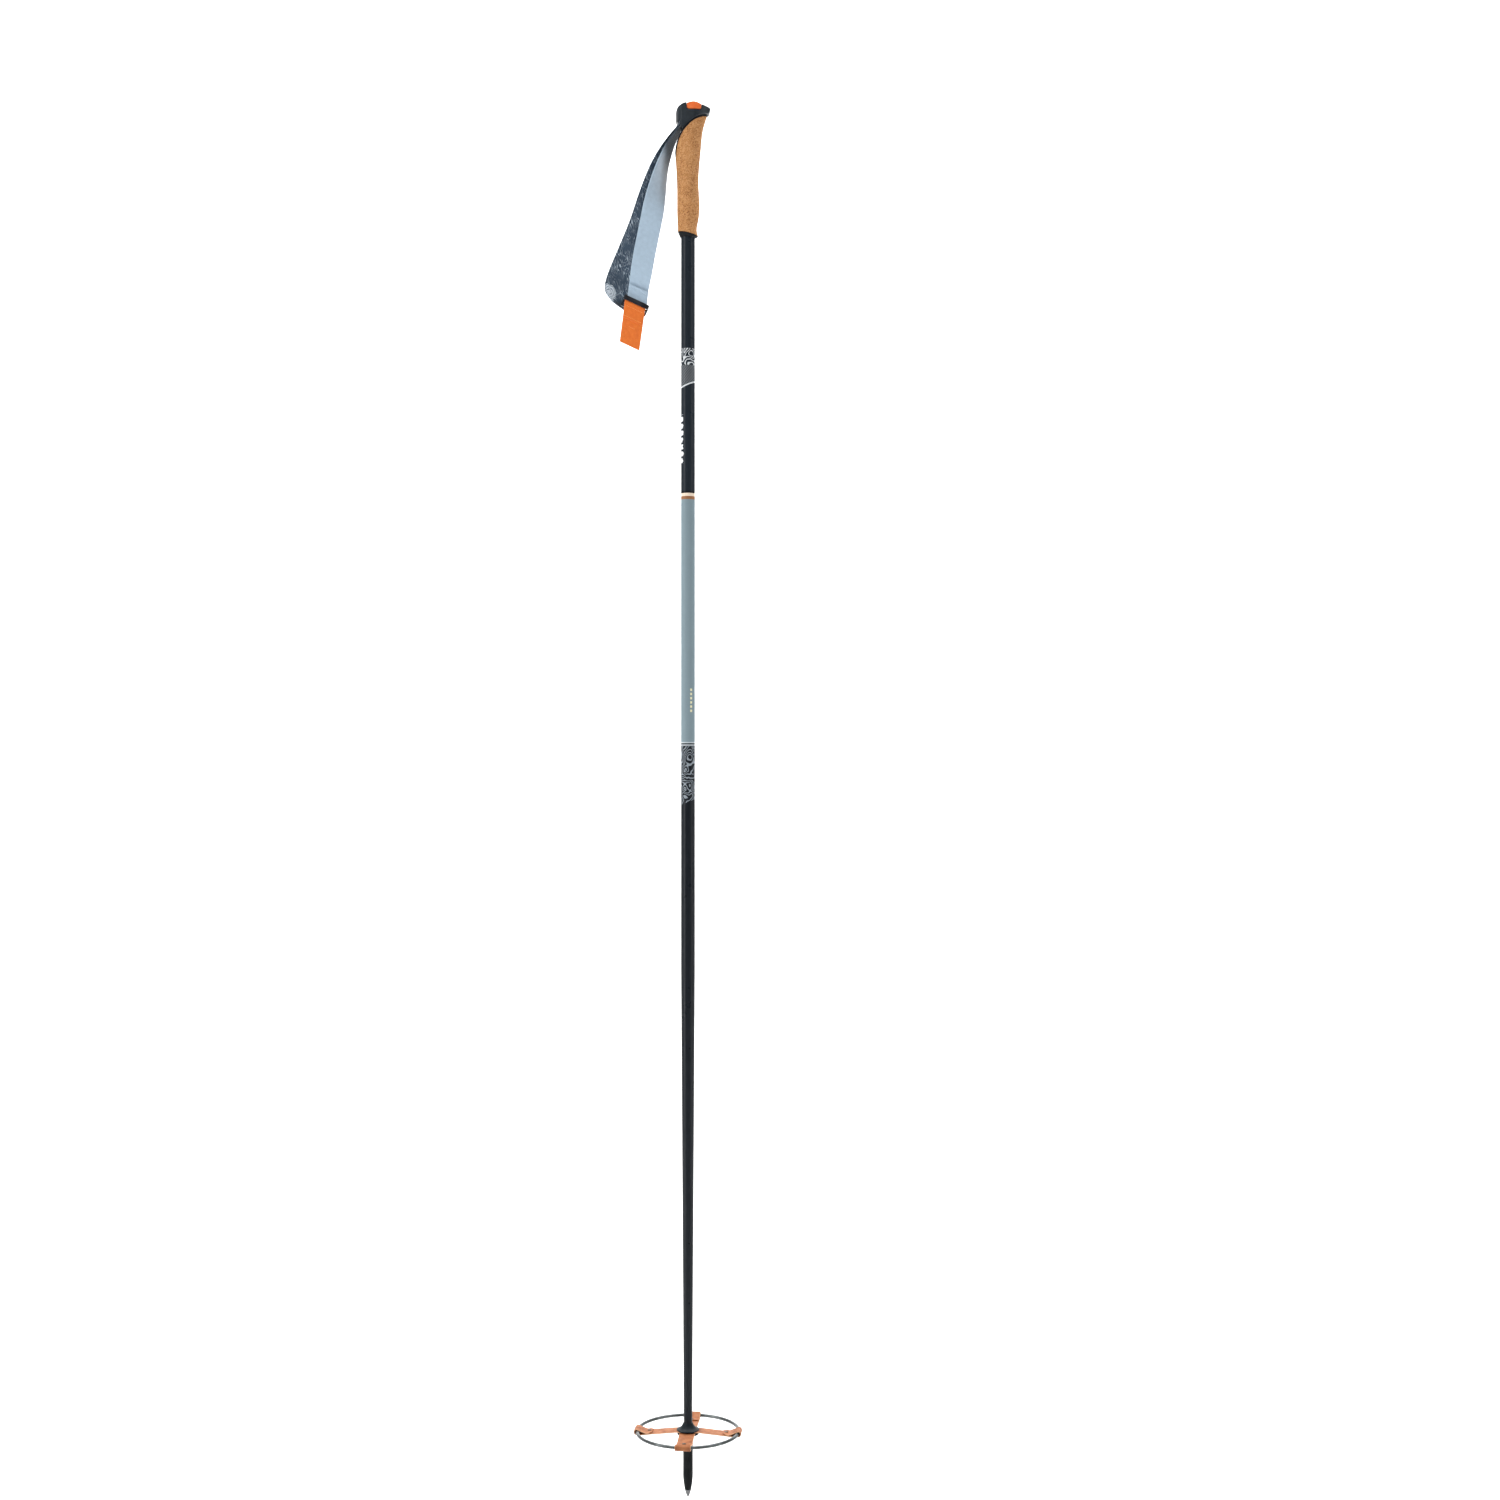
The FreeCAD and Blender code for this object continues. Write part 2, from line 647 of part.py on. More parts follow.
def ribbon(node, stations):
    """Flat strap through stations of centre, unit cross direction, half width and half thickness."""
    centres = [entry[0] for entry in stations]
    wires = []
    for number, (centre, across, half_width, half_thickness) in enumerate(stations):
        before = centres[max(number - 1, 0)]
        after = centres[min(number + 1, len(centres) - 1)]
        normal = across.cross(after - before).normalize()
        corners = []
        for side, face in ((-1, -1), (1, -1), (1, 1), (-1, 1)):
            corners.append(centre + across * (side * half_width) + normal * (face * half_thickness))
        wires.append(Part.makePolygon(corners + corners[:1]))
    feature = DOC.addObject("Part::Feature", node)
    feature.Shape = Part.makeLoft(wires, True, True)
    return keep(feature, node)


def cross_direction(turn, slope):
    """Cross direction of the strap: edge on at 0 turn, facing -Y at 90, its right side lower by slope."""
    facing = math.radians(turn)
    drop = math.radians(slope)
    return Vector(math.sin(facing) * math.cos(drop), math.cos(facing), -math.sin(facing) * math.sin(drop))


# centre x, y, z, turn towards the front view and slope of the cross direction
WEBBING_ROUTE = [
    (-9.3, 0.0, 1553.6, 0, 28),
    (-20.6, -1.0, 1532.5, 15, 28),
    (-29.2, -2.0, 1508.5, 30, 22),
    (-35.6, -4.0, 1479.0, 56, 16),
    (-41.4, -6.0, 1448.0, 88, 12),
    (-48.4, -7.0, 1413.0, 90, 14),
    (-52.3, -6.0, 1391.0, 90, 20),
]
# the same, with the pad's width and thickness at the end of each line
PAD_ROUTE = [
    (-10.9, 0.0, 1554.4, 0, 28, 25, 1.4),
    (-24.6, 1.8, 1532.5, 17, 28, 25, 1.6),
    (-33.6, 3.8, 1508.5, 42, 21, 27, 2.6),
    (-41.5, 7.0, 1478.0, 70, 18, 31, 3.4),
    (-49.8, 11.0, 1448.0, 88, 20, 35, 3.4),
    (-62.4, 13.0, 1414.0, 90, 21, 38, 3.4),
    (-73.0, 12.0, 1387.0, 90, 20, 39, 3.4),
    (-78.5, 9.5, 1365.0, 90, 27, 39, 3.2),
    (-74.5, 6.5, 1350.5, 90, 34, 33, 2.2),
]
# share of the pad's width that the lining covers, and the first of the pad's lines that it reaches
LINING_SHARE = 0.9
LINING_FIRST = 2
# how the webbing leans from the buckle's bar, across and up
TURNBACK_LINE = Vector(0.12, 0, 0.99)
# centre of the pad's tail where it leaves the pad, with the cut in its half width
TAIL_ROUTE = [
    (-70.0, 3.6, 1350.5, 1.0),
    (-65.0, 2.4, 1347.5, 0.5),
]


def buckle_frame_placement():
    """Frame at the buckle's upper bar, X along the bar and Z up across the buckle."""
    centre = Vector(size("buckle_x"), size("buckle_y"), size("buckle_z"))
    return Placement(centre, Rotation(Vector(0, 1, 0), size("buckle_turn")))


def webbing_stations():
    """Stations down the route, round the buckle's upper bar and back up as the sewn turn-back."""
    half_width = size("webbing_width / 2")
    half_thickness = size("webbing_thickness / 2")
    stations = []
    for x, y, z, turn, slope in WEBBING_ROUTE:
        stations.append((Vector(x, y, z), cross_direction(turn, slope), half_width, half_thickness))
    frame = buckle_frame_placement()
    along = frame.Rotation.multVec(Vector(1, 0, 0))
    loop = size("bar_loop_radius")
    layer = size("layer_offset")
    folded = [(layer, size("turnback_length"))]
    folded += [(loop * math.cos(math.radians(angle)), -loop * math.sin(math.radians(angle)))
               for angle in range(-30, 211, 30)]
    folded += [(-layer, size("turnback_length - turnback_short"))]
    for depth, height in folded:
        centre = frame.Base + Vector(0, depth, 0) + TURNBACK_LINE * height
        stations.append((centre, along, half_width - size("buckle_side_gap"), half_thickness))
    return stations


def make_strap():
    """Webbing, hand pad with its lining, and the pad's tail that reaches the buckle."""
    ribbon("strap_webbing", webbing_stations())
    pad = []
    lining = []
    for number, (x, y, z, turn, slope, width, thickness) in enumerate(PAD_ROUTE):
        across = cross_direction(turn, slope)
        centre = Vector(x, y, z)
        pad.append((centre, across, width / 2, thickness / 2))
    ribbon("hand_pad", pad)
    for number in range(LINING_FIRST, len(PAD_ROUTE)):
        centre, across, half_width, half_thickness = pad[number]
        before = pad[number - 1][0]
        after = pad[min(number + 1, len(pad) - 1)][0]
        normal = across.cross(after - before).normalize()
        lining_half = size("lining_thickness / 2")
        behind = half_thickness + lining_half + size("glue_gap")
        lining.append((centre + normal * behind, across, half_width * LINING_SHARE, lining_half))
    ribbon("pad_lining", lining)
    frame = buckle_frame_placement()
    along = frame.Rotation.multVec(Vector(1, 0, 0))
    half_width = size("webbing_width / 2")
    half_thickness = size("webbing_thickness / 2")
    tail = []
    for x, y, z, narrower in TAIL_ROUTE:
        tail.append((Vector(x, y, z), along, half_width - narrower, half_thickness))
    slot = frame.multVec(Vector(0, size("tail_depth"), -size("tail_height")))
    ribbon("pad_tail", tail + [(slot, along, half_width, half_thickness)])


def rectangle(half_width, low, high):
    """Corners of a rectangle centred on the upright axis."""
    left = "-(%s)" % half_width
    return [(left, low), (half_width, low), (half_width, high), (left, high)]


def bridge_part(name, depth, corners):
    """Block of the buckle's bridge, from just inside the frame's front forwards."""
    block = padded(name, "XZ_Plane", depth, corners)
    block.Placement = Placement(Vector(0, -size("bridge_start + (%s) / 2" % depth), 0), Rotation())
    return block


def make_buckle():
    """Ladder-lock buckle with two slots and a bridge over the webbing, and the tab below it."""
    upper = rectangle("buckle_slot_half_width", "-buckle_middle_top", "-bar_half_height")
    lower = rectangle("buckle_slot_half_width", "-buckle_low_slot", "-buckle_middle_bottom")
    ladder = padded("buckle_ladder", "XZ_Plane", "buckle_thickness",
                    rectangle("buckle_half_width", "-buckle_height", "bar_half_height"),
                    holes=[(upper, None), (lower, None)])
    front = bridge_part("bridge_front", "bridge_depth",
                        rectangle("buckle_half_width", "-bridge_foot", "bar_half_height"))
    space = bridge_part("bridge_space", "bridge_depth - bridge_wall",
                        rectangle("buckle_slot_half_width", "-buckle_height", "buckle_height"))
    buckle = fuse("buckle_frame", ladder, cut("bridge", front, space))
    buckle.Placement = buckle_frame_placement()
    keep(buckle, "buckle_frame")

    half = "webbing_width / 2"
    tab = padded("pull_tab", "XZ_Plane", "tab_thickness", [
        ("-(%s)" % half, "-tab_top"),
        ("-(%s) + tab_lean" % half, "-tab_top - tab_length"),
        (half + " + tab_lean", "-tab_top - tab_length + bar_half_height"),
        (half, "-tab_top"),
    ])
    forward = Vector(0, -size("tab_front + tab_thickness / 2"), 0)
    tab.Placement = buckle_frame_placement().multiply(Placement(forward, Rotation()))
    keep(tab, "pull_tab")


def check_document():
    """Stop on any object that failed and on any sub-part without a valid solid."""
    for item in DOC.Objects:
        if {"Invalid", "Error"} & set(item.State):
            raise RuntimeError("object failed: %s %s" % (item.Name, item.State))
    for item in PARTS:
        if item.Shape.isNull() or not item.Shape.isValid() or not item.Shape.Solids:
            raise RuntimeError("no valid solid: " + item.Label)


def export_parts():
    """Write each sub-part to its own STEP file."""
    os.makedirs("parts", exist_ok=True)
    for item in PARTS:
        item.Shape.exportStep("parts/%s.step" % item.Label)


fill_sheet()
make_shaft()
make_tip()
make_hub()
make_basket()
make_grip()
make_head()
make_strap()
make_buckle()
DOC.recompute()
check_document()
export_parts()
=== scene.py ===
"""Looks of a touring ski pole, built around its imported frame.

Metres. The tip's point is at the origin, +Z runs up the shaft and +X is the front of the grip.
"""
import logging
import math
from collections.abc import Callable, Sequence
from dataclasses import dataclass
from enum import Enum

import bpy
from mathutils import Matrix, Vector


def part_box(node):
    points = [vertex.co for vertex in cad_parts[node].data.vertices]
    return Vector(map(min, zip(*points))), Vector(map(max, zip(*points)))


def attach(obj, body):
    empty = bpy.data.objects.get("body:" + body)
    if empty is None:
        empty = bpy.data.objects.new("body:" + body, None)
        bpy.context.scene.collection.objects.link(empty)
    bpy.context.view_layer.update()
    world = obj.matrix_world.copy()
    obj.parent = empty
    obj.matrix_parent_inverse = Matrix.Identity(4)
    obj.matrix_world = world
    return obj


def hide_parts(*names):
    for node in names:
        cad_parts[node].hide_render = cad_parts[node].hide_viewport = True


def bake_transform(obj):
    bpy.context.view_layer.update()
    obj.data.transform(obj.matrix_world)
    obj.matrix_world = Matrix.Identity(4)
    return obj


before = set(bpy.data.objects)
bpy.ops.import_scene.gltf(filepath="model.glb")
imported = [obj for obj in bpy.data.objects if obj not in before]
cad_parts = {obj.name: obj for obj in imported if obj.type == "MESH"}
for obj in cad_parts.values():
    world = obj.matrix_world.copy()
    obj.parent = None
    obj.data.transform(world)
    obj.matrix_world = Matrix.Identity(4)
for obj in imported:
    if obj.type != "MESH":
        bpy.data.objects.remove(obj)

Socket = bpy.types.NodeSocket
Piece = bpy.types.Object
Material = bpy.types.Material
Colour = tuple[float, float, float]

LOG = logging.getLogger("touring_pole")
MM = 0.001


# ---------------------------------------------------------------- mesh tools


def start_clean() -> None:
    """Leave edit mode and deselect every object."""
    if bpy.context.object and bpy.context.object.mode != "OBJECT":
        bpy.ops.object.mode_set(mode="OBJECT")
    bpy.ops.object.select_all(action="DESELECT")


def pick(piece: Piece) -> None:
    """Select one piece alone and make it active."""
    start_clean()
    piece.select_set(True)
    bpy.context.view_layer.objects.active = piece


def edit_all(piece: Piece) -> None:
    """Open a piece in edit mode with its whole mesh selected."""
    pick(piece)
    bpy.ops.object.mode_set(mode="EDIT")
    bpy.ops.mesh.select_all(action="SELECT")


def settle(piece: Piece, smooth_angle: float = 35.0) -> Piece:
    """Put a piece's place into its mesh and shade it smooth below an angle.

    Args:
        piece: The mesh object to settle.
        smooth_angle: Largest angle, in degrees, that is still shaded smooth.

    Returns:
        The same object.
    """
    pick(piece)
    bpy.ops.object.transform_apply(location=True, rotation=True, scale=True)
    bpy.ops.object.shade_smooth_by_angle(angle=math.radians(smooth_angle))
    return piece


def close_up(piece: Piece, gap: float, smooth_angle: float) -> Piece:
    """Merge points closer than the gap, fill the open ends and turn every face outwards."""
    edit_all(piece)
    bpy.ops.mesh.remove_doubles(threshold=gap)
    bpy.ops.mesh.fill_holes(sides=0)
    bpy.ops.mesh.normals_make_consistent(inside=False)
    return settle(piece, smooth_angle)


def apply_modifier(piece: Piece, kind: str, **values: object) -> None:
    """Add one modifier to a piece, set its values and apply it."""
    modifier = piece.modifiers.new(kind.lower(), kind)
    for name, value in values.items():
        setattr(modifier, name, value)
    pick(piece)
    bpy.ops.object.modifier_apply(modifier=modifier.name)


def soften(piece: Piece, width: float, segments: int = 2) -> None:
    """Round the sharp edges of a piece by a bevel of the given width."""
    apply_modifier(piece, "BEVEL", width=width, segments=segments, limit_method="ANGLE",
                   angle_limit=math.radians(30))


def lathe(name: str, profile: Sequence[tuple[float, float]], segments: int = 96) -> Piece:
    """Round piece made by carrying a ring along a profile of radius and height.

    Args:
        name: Name of the new object.
        profile: Radius and height of each ring, in order along the skin.
        segments: Number of vertices in a ring.

    Returns:
        The closed piece; a profile that ends where it starts becomes a ring.
    """
    start_clean()
    radius, height = profile[0]
    bpy.ops.mesh.primitive_circle_add(vertices=segments, radius=radius, location=(0, 0, height))
    piece = bpy.context.object
    piece.name = name
    edit_all(piece)
    for (old_radius, old_height), (new_radius, new_height) in zip(profile, profile[1:]):
        bpy.ops.mesh.extrude_region_move(
            TRANSFORM_OT_translate={"value": (0, 0, new_height - old_height)})
        scale = new_radius / old_radius
        bpy.ops.transform.resize(value=(scale, scale, 1), center_override=(0, 0, new_height))
    return close_up(piece, 1e-6, 35.0)


def curve_points(start: tuple[float, float], middle: tuple[float, float], end: tuple[float, float],
                 steps: int) -> list[tuple[float, float]]:
    """Points of a quadratic curve that leaves start and reaches end, pulled towards middle."""
    points = []
    for step in range(steps + 1):
        share = step / steps
        weights = ((1 - share) ** 2, 2 * share * (1 - share), share ** 2)
        points.append(tuple(sum(w * p[axis] for w, p in zip(weights, (start, middle, end)))
                            for axis in (0, 1)))
    return points


def moulded_copy(node: str, name: str, voxel: float, rounds: int) -> Piece:
    """Finely meshed copy of a frame node whose edges are rounded as a moulding's are.

    Args:
        node: The frame node to copy.
        name: Name of the new object.
        voxel: Size of the remeshed faces.
        rounds: Number of smoothing passes over the edges.

    Returns:
        The new piece, with the node hidden in its favour.
    """
    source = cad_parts[node]
    piece = bpy.data.objects.new(name, source.data.copy())
    bpy.context.scene.collection.objects.link(piece)
    edit_all(piece)
    bpy.ops.mesh.remove_doubles(threshold=1e-6)
    bpy.ops.object.mode_set(mode="OBJECT")
    apply_modifier(piece, "REMESH", mode="VOXEL", voxel_size=voxel)
    apply_modifier(piece, "SMOOTH", factor=0.5, iterations=rounds)
    pick(piece)
    bpy.ops.object.shade_smooth()
    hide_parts(node)
    return piece


# ---------------------------------------------------------------- strap skins


@dataclass(frozen=True)
class Station:
    """One line across a strap: where its middle is, which way it lies and how large it is."""

    centre: Vector
    across: Vector
    width: float
    thickness: float


def lie(turn: float, slope: float) -> Vector:
    """Cross direction of a strap: edge on at 0 turn, facing -Y at 90, its right side lower by slope."""
    facing = math.radians(turn)
    drop = math.radians(slope)
    return Vector((math.sin(facing) * math.cos(drop), math.cos(facing), -math.sin(facing) * math.sin(drop)))


def smooth_value(values: Sequence, place: float) -> object:
    """Value at a place along a list, on a curve through all its entries."""
    first = min(int(place), len(values) - 2)
    share = place - first
    before = values[max(first - 1, 0)]
    start = values[first]
    end = values[first + 1]
    after = values[min(first + 2, len(values) - 1)]
    return (start * 2 + (end - before) * share + (before * 2 - start * 5 + end * 4 - after) * share ** 2
            + (start * 3 - before - end * 3 + after) * share ** 3) * 0.5


def refine(stations: Sequence[Station], steps: int) -> list[Station]:
    """Even, smooth run of stations through the given ones, with steps new ones per span."""
    fine = []
    for number in range((len(stations) - 1) * steps + 1):
        place = number / steps
        fine.append(Station(
            smooth_value([entry.centre for entry in stations], place),
            smooth_value([entry.across for entry in stations], place).normalized(),
            smooth_value([entry.width for entry in stations], place),
            smooth_value([entry.thickness for entry in stations], place),
        ))
    return fine


def flat_section(count: int, roundness: float) -> list[tuple[float, float]]:
    """Closed cross-section from -1 to 1 both ways, boxier as roundness goes to 0."""
    points = []
    for number in range(count):
        angle = 2 * math.pi * number / count
        cosine = math.cos(angle)
        sine = math.sin(angle)
        across = math.copysign(abs(cosine) ** (roundness * 0.9), cosine)
        through = math.copysign(abs(sine) ** (roundness * 1.6), sine)
        points.append((across, through))
    return points


def skin(name: str, stations: Sequence[Station], section: Sequence[tuple[float, float]],
         bulge: Callable[[float, float], float] | None = None) -> Piece:
    """Closed strap skin through stations, with UV in metres across and along it.

    Args:
        name: Name of the new object.
        stations: Lines across the strap, in order.
        section: Cross-section from -1 to 1 across and through the strap.
        bulge: Share of the full thickness at a place across (-1 to 1) and along (metres).

    Returns:
        The new piece.
    """
    start_clean()
    around = len(section)
    rows = len(stations)
    bpy.ops.mesh.primitive_grid_add(x_subdivisions=around, y_subdivisions=rows - 1, size=1)
    piece = bpy.context.object
    piece.name = name
    along = [0.0]
    for before, after in zip(stations, stations[1:]):
        along.append(along[-1] + (after.centre - before.centre).length)
    measures = []
    for vertex in piece.data.vertices:
        column = round((vertex.co.x + 0.5) * around) % around
        row = round((vertex.co.y + 0.5) * (rows - 1))
        station = stations[row]
        ahead = stations[min(row + 1, rows - 1)].centre - stations[max(row - 1, 0)].centre
        normal = station.across.cross(ahead).normalized()
        across, through = section[column]
        swell = bulge(across, along[row]) if bulge else 1.0
        vertex.co = (station.centre + station.across * (across * station.width / 2)
                     + normal * (through * swell * station.thickness / 2))
        measures.append((across * station.width / 2, along[row]))
    uv = piece.data.uv_layers.active.data
    for loop in piece.data.loops:
        uv[loop.index].uv = measures[loop.vertex_index]
    return close_up(piece, 1e-7, 50.0)


def thread_row(name: str, points: Sequence[Vector], outward: Vector, stitch: float, gauge: float) -> Piece:
    """Row of sewn stitches that lie on a surface.

    Args:
        name: Name of the new object.
        points: Fine run of points along the seam.
        outward: Direction in which the surface faces.
        stitch: Length from one stitch to the next.
        gauge: Thickness of the thread.

    Returns:
        One object that holds all the stitches.
    """
    travelled = 0.0
    places = []
    for before, after in zip(points, points[1:]):
        step = (after - before).length
        while len(places) * stitch <= travelled + step and step > 0:
            share = (len(places) * stitch - travelled) / step
            places.append((before.lerp(after, share), (after - before).normalized()))
        travelled += step
    beads = []
    for centre, forward in places:
        start_clean()
        bpy.ops.mesh.primitive_uv_sphere_add(segments=8, ring_count=6, radius=gauge / 2)
        bead = bpy.context.object
        side = forward.cross(outward).normalized()
        for vertex in bead.data.vertices:
            local = vertex.co.copy()
            vertex.co = (centre + forward * (local.z * stitch * 0.78 / gauge) + side * local.x
                         + outward * (local.y * 0.8))
        beads.append(bead)
    start_clean()
    for bead in beads:
        bead.select_set(True)
    bpy.context.view_layer.objects.active = beads[0]
    bpy.ops.object.join()
    row = bpy.context.object
    row.name = name
    edit_all(row)
    bpy.ops.mesh.normals_make_consistent(inside=False)
    return settle(row, 80.0)


# ---------------------------------------------------------------- materials


class Graph:
    """Short way to write a material's nodes."""

    def __init__(self, name: str) -> None:
        """Start an empty material of that name with a surface shader."""
        self.material = bpy.data.materials.new(name)
        self.material.use_nodes = True
        self.tree = self.material.node_tree
        self.shader = self.tree.nodes["Principled BSDF"]

    def node(self, kind: str, **values: object) -> bpy.types.Node:
        """Add a node and set its own properties."""
        made = self.tree.nodes.new(kind)
        for name, value in values.items():
            setattr(made, name, value)
        return made

    def feed(self, source: object, target: Socket) -> None:
        """Link a socket to an input, or set the input to a plain value."""
        if isinstance(source, Socket):
            self.tree.links.new(source, target)
        else:
            target.default_value = source

    def math(self, operation: str, *inputs: object) -> Socket:
        """Result of a maths node."""
        made = self.node("ShaderNodeMath", operation=operation)
        for source, target in zip(inputs, made.inputs):
            self.feed(source, target)
        return made.outputs[0]

    def times(self, *inputs: object) -> Socket:
        """Product of two values."""
        return self.math("MULTIPLY", *inputs)

    def plus(self, *inputs: object) -> Socket:
        """Sum of two values."""
        return self.math("ADD", *inputs)

    def below(self, *inputs: object) -> Socket:
        """1 where the first value is less than the second and 0 elsewhere."""
        return self.math("LESS_THAN", *inputs)

    def above(self, *inputs: object) -> Socket:
        """1 where the first value is more than the second and 0 elsewhere."""
        return self.math("GREATER_THAN", *inputs)

    def object_place(self, scale: tuple[float, float, float] = (1, 1, 1)) -> Socket:
        """Object coordinates, scaled."""
        mapping = self.node("ShaderNodeMapping")
        mapping.inputs["Scale"].default_value = scale
        self.feed(self.node("ShaderNodeTexCoord").outputs["Object"], mapping.inputs["Vector"])
        return mapping.outputs["Vector"]

    def surface_place(self, scale: tuple[float, float, float] = (1, 1, 1), turn: float = 0.0,
                      order: str = "POINT") -> Socket:
        """UV coordinates in metres, scaled and then turned; order TEXTURE turns first and then divides."""
        mapping = self.node("ShaderNodeMapping", vector_type=order)
        mapping.inputs["Rotation"].default_value = (0, 0, math.radians(turn))
        mapping.inputs["Scale"].default_value = scale
        self.feed(self.node("ShaderNodeTexCoord").outputs["UV"], mapping.inputs["Vector"])
        return mapping.outputs["Vector"]

    def split(self, vector: Socket) -> bpy.types.NodeOutputs:
        """The three parts of a vector."""
        made = self.node("ShaderNodeSeparateXYZ")
        self.feed(vector, made.inputs[0])
        return made.outputs

    def noise(self, vector: Socket, scale: float, detail: float = 4.0) -> Socket:
        """Cloudy noise from 0 to 1."""
        made = self.node("ShaderNodeTexNoise")
        made.inputs["Scale"].default_value = scale
        made.inputs["Detail"].default_value = detail
        self.feed(vector, made.inputs["Vector"])
        return made.outputs["Fac"]

    def cells(self, vector: Socket, scale: float, output: str = "Distance") -> Socket:
        """Granular cells: their distance or colour."""
        made = self.node("ShaderNodeTexVoronoi")
        made.inputs["Scale"].default_value = scale
        self.feed(vector, made.inputs["Vector"])
        return made.outputs[output]

    def ramp(self, source: Socket, stops: Sequence[tuple[float, Colour]]) -> Socket:
        """Colour ramp through stops of place and colour."""
        made = self.node("ShaderNodeValToRGB")
        elements = made.color_ramp.elements
        elements.remove(elements[1])
        elements[0].position = stops[0][0]
        elements[0].color = (*stops[0][1], 1)
        for place, colour in stops[1:]:
            elements.new(place).color = (*colour, 1)
        self.feed(source, made.inputs["Fac"])
        return made.outputs["Color"]

    def rise(self, source: Socket, low: float, high: float) -> Socket:
        """0 below the low limit, 1 above the high one and a straight rise between them."""
        return self.ramp(source, [(low, (0, 0, 0)), (high, (1, 1, 1))])

    def mix(self, share: object, first: object, second: object) -> Socket:
        """Colour between two colours."""
        made = self.node("ShaderNodeMix", data_type="RGBA")
        self.feed(share, made.inputs["Factor"])
        for source, name in ((first, "A"), (second, "B")):
            target = [item for item in made.inputs if item.name == name and item.type == "RGBA"][0]
            self.feed((*source, 1) if isinstance(source, tuple) else source, target)
        return [item for item in made.outputs if item.type == "RGBA"][0]

    def between(self, value: Socket, low: float, high: float) -> Socket:
        """1 where a value lies between two limits and 0 elsewhere."""
        return self.times(self.above(value, low), self.below(value, high))

    def line(self, value: Socket, centre: float, half: float) -> Socket:
        """1 within half of a centre value and 0 elsewhere."""
        return self.between(value, centre - half, centre + half)

    def stripes(self, value: Socket, rate: float, half: float, centre: float = 0.5) -> Socket:
        """Lines repeated at a rate along a value, each half wide to both sides of a place in its step."""
        return self.line(self.math("FRACT", self.times(value, rate)), centre, half)

    def bump(self, height: Socket, strength: float, distance: float,
             under: Socket | None = None) -> Socket:
        """Surface direction bent by a height, over another bump where one is given."""
        made = self.node("ShaderNodeBump")
        made.inputs["Strength"].default_value = strength
        made.inputs["Distance"].default_value = distance
        self.feed(height, made.inputs["Height"])
        if under is not None:
            self.feed(under, made.inputs["Normal"])
        return made.outputs["Normal"]

    def finish(self, colour: object, roughness: object, normal: Socket | None = None,
               **plain: object) -> Material:
        """Feed the surface shader and return the material."""
        self.feed((*colour, 1) if isinstance(colour, tuple) else colour, self.shader.inputs["Base Color"])
        self.feed(roughness, self.shader.inputs["Roughness"])
        if normal is not None:
            self.feed(normal, self.shader.inputs["Normal"])
        for name, value in plain.items():
            self.shader.inputs[name.replace("_", " ")].default_value = value
        return self.material


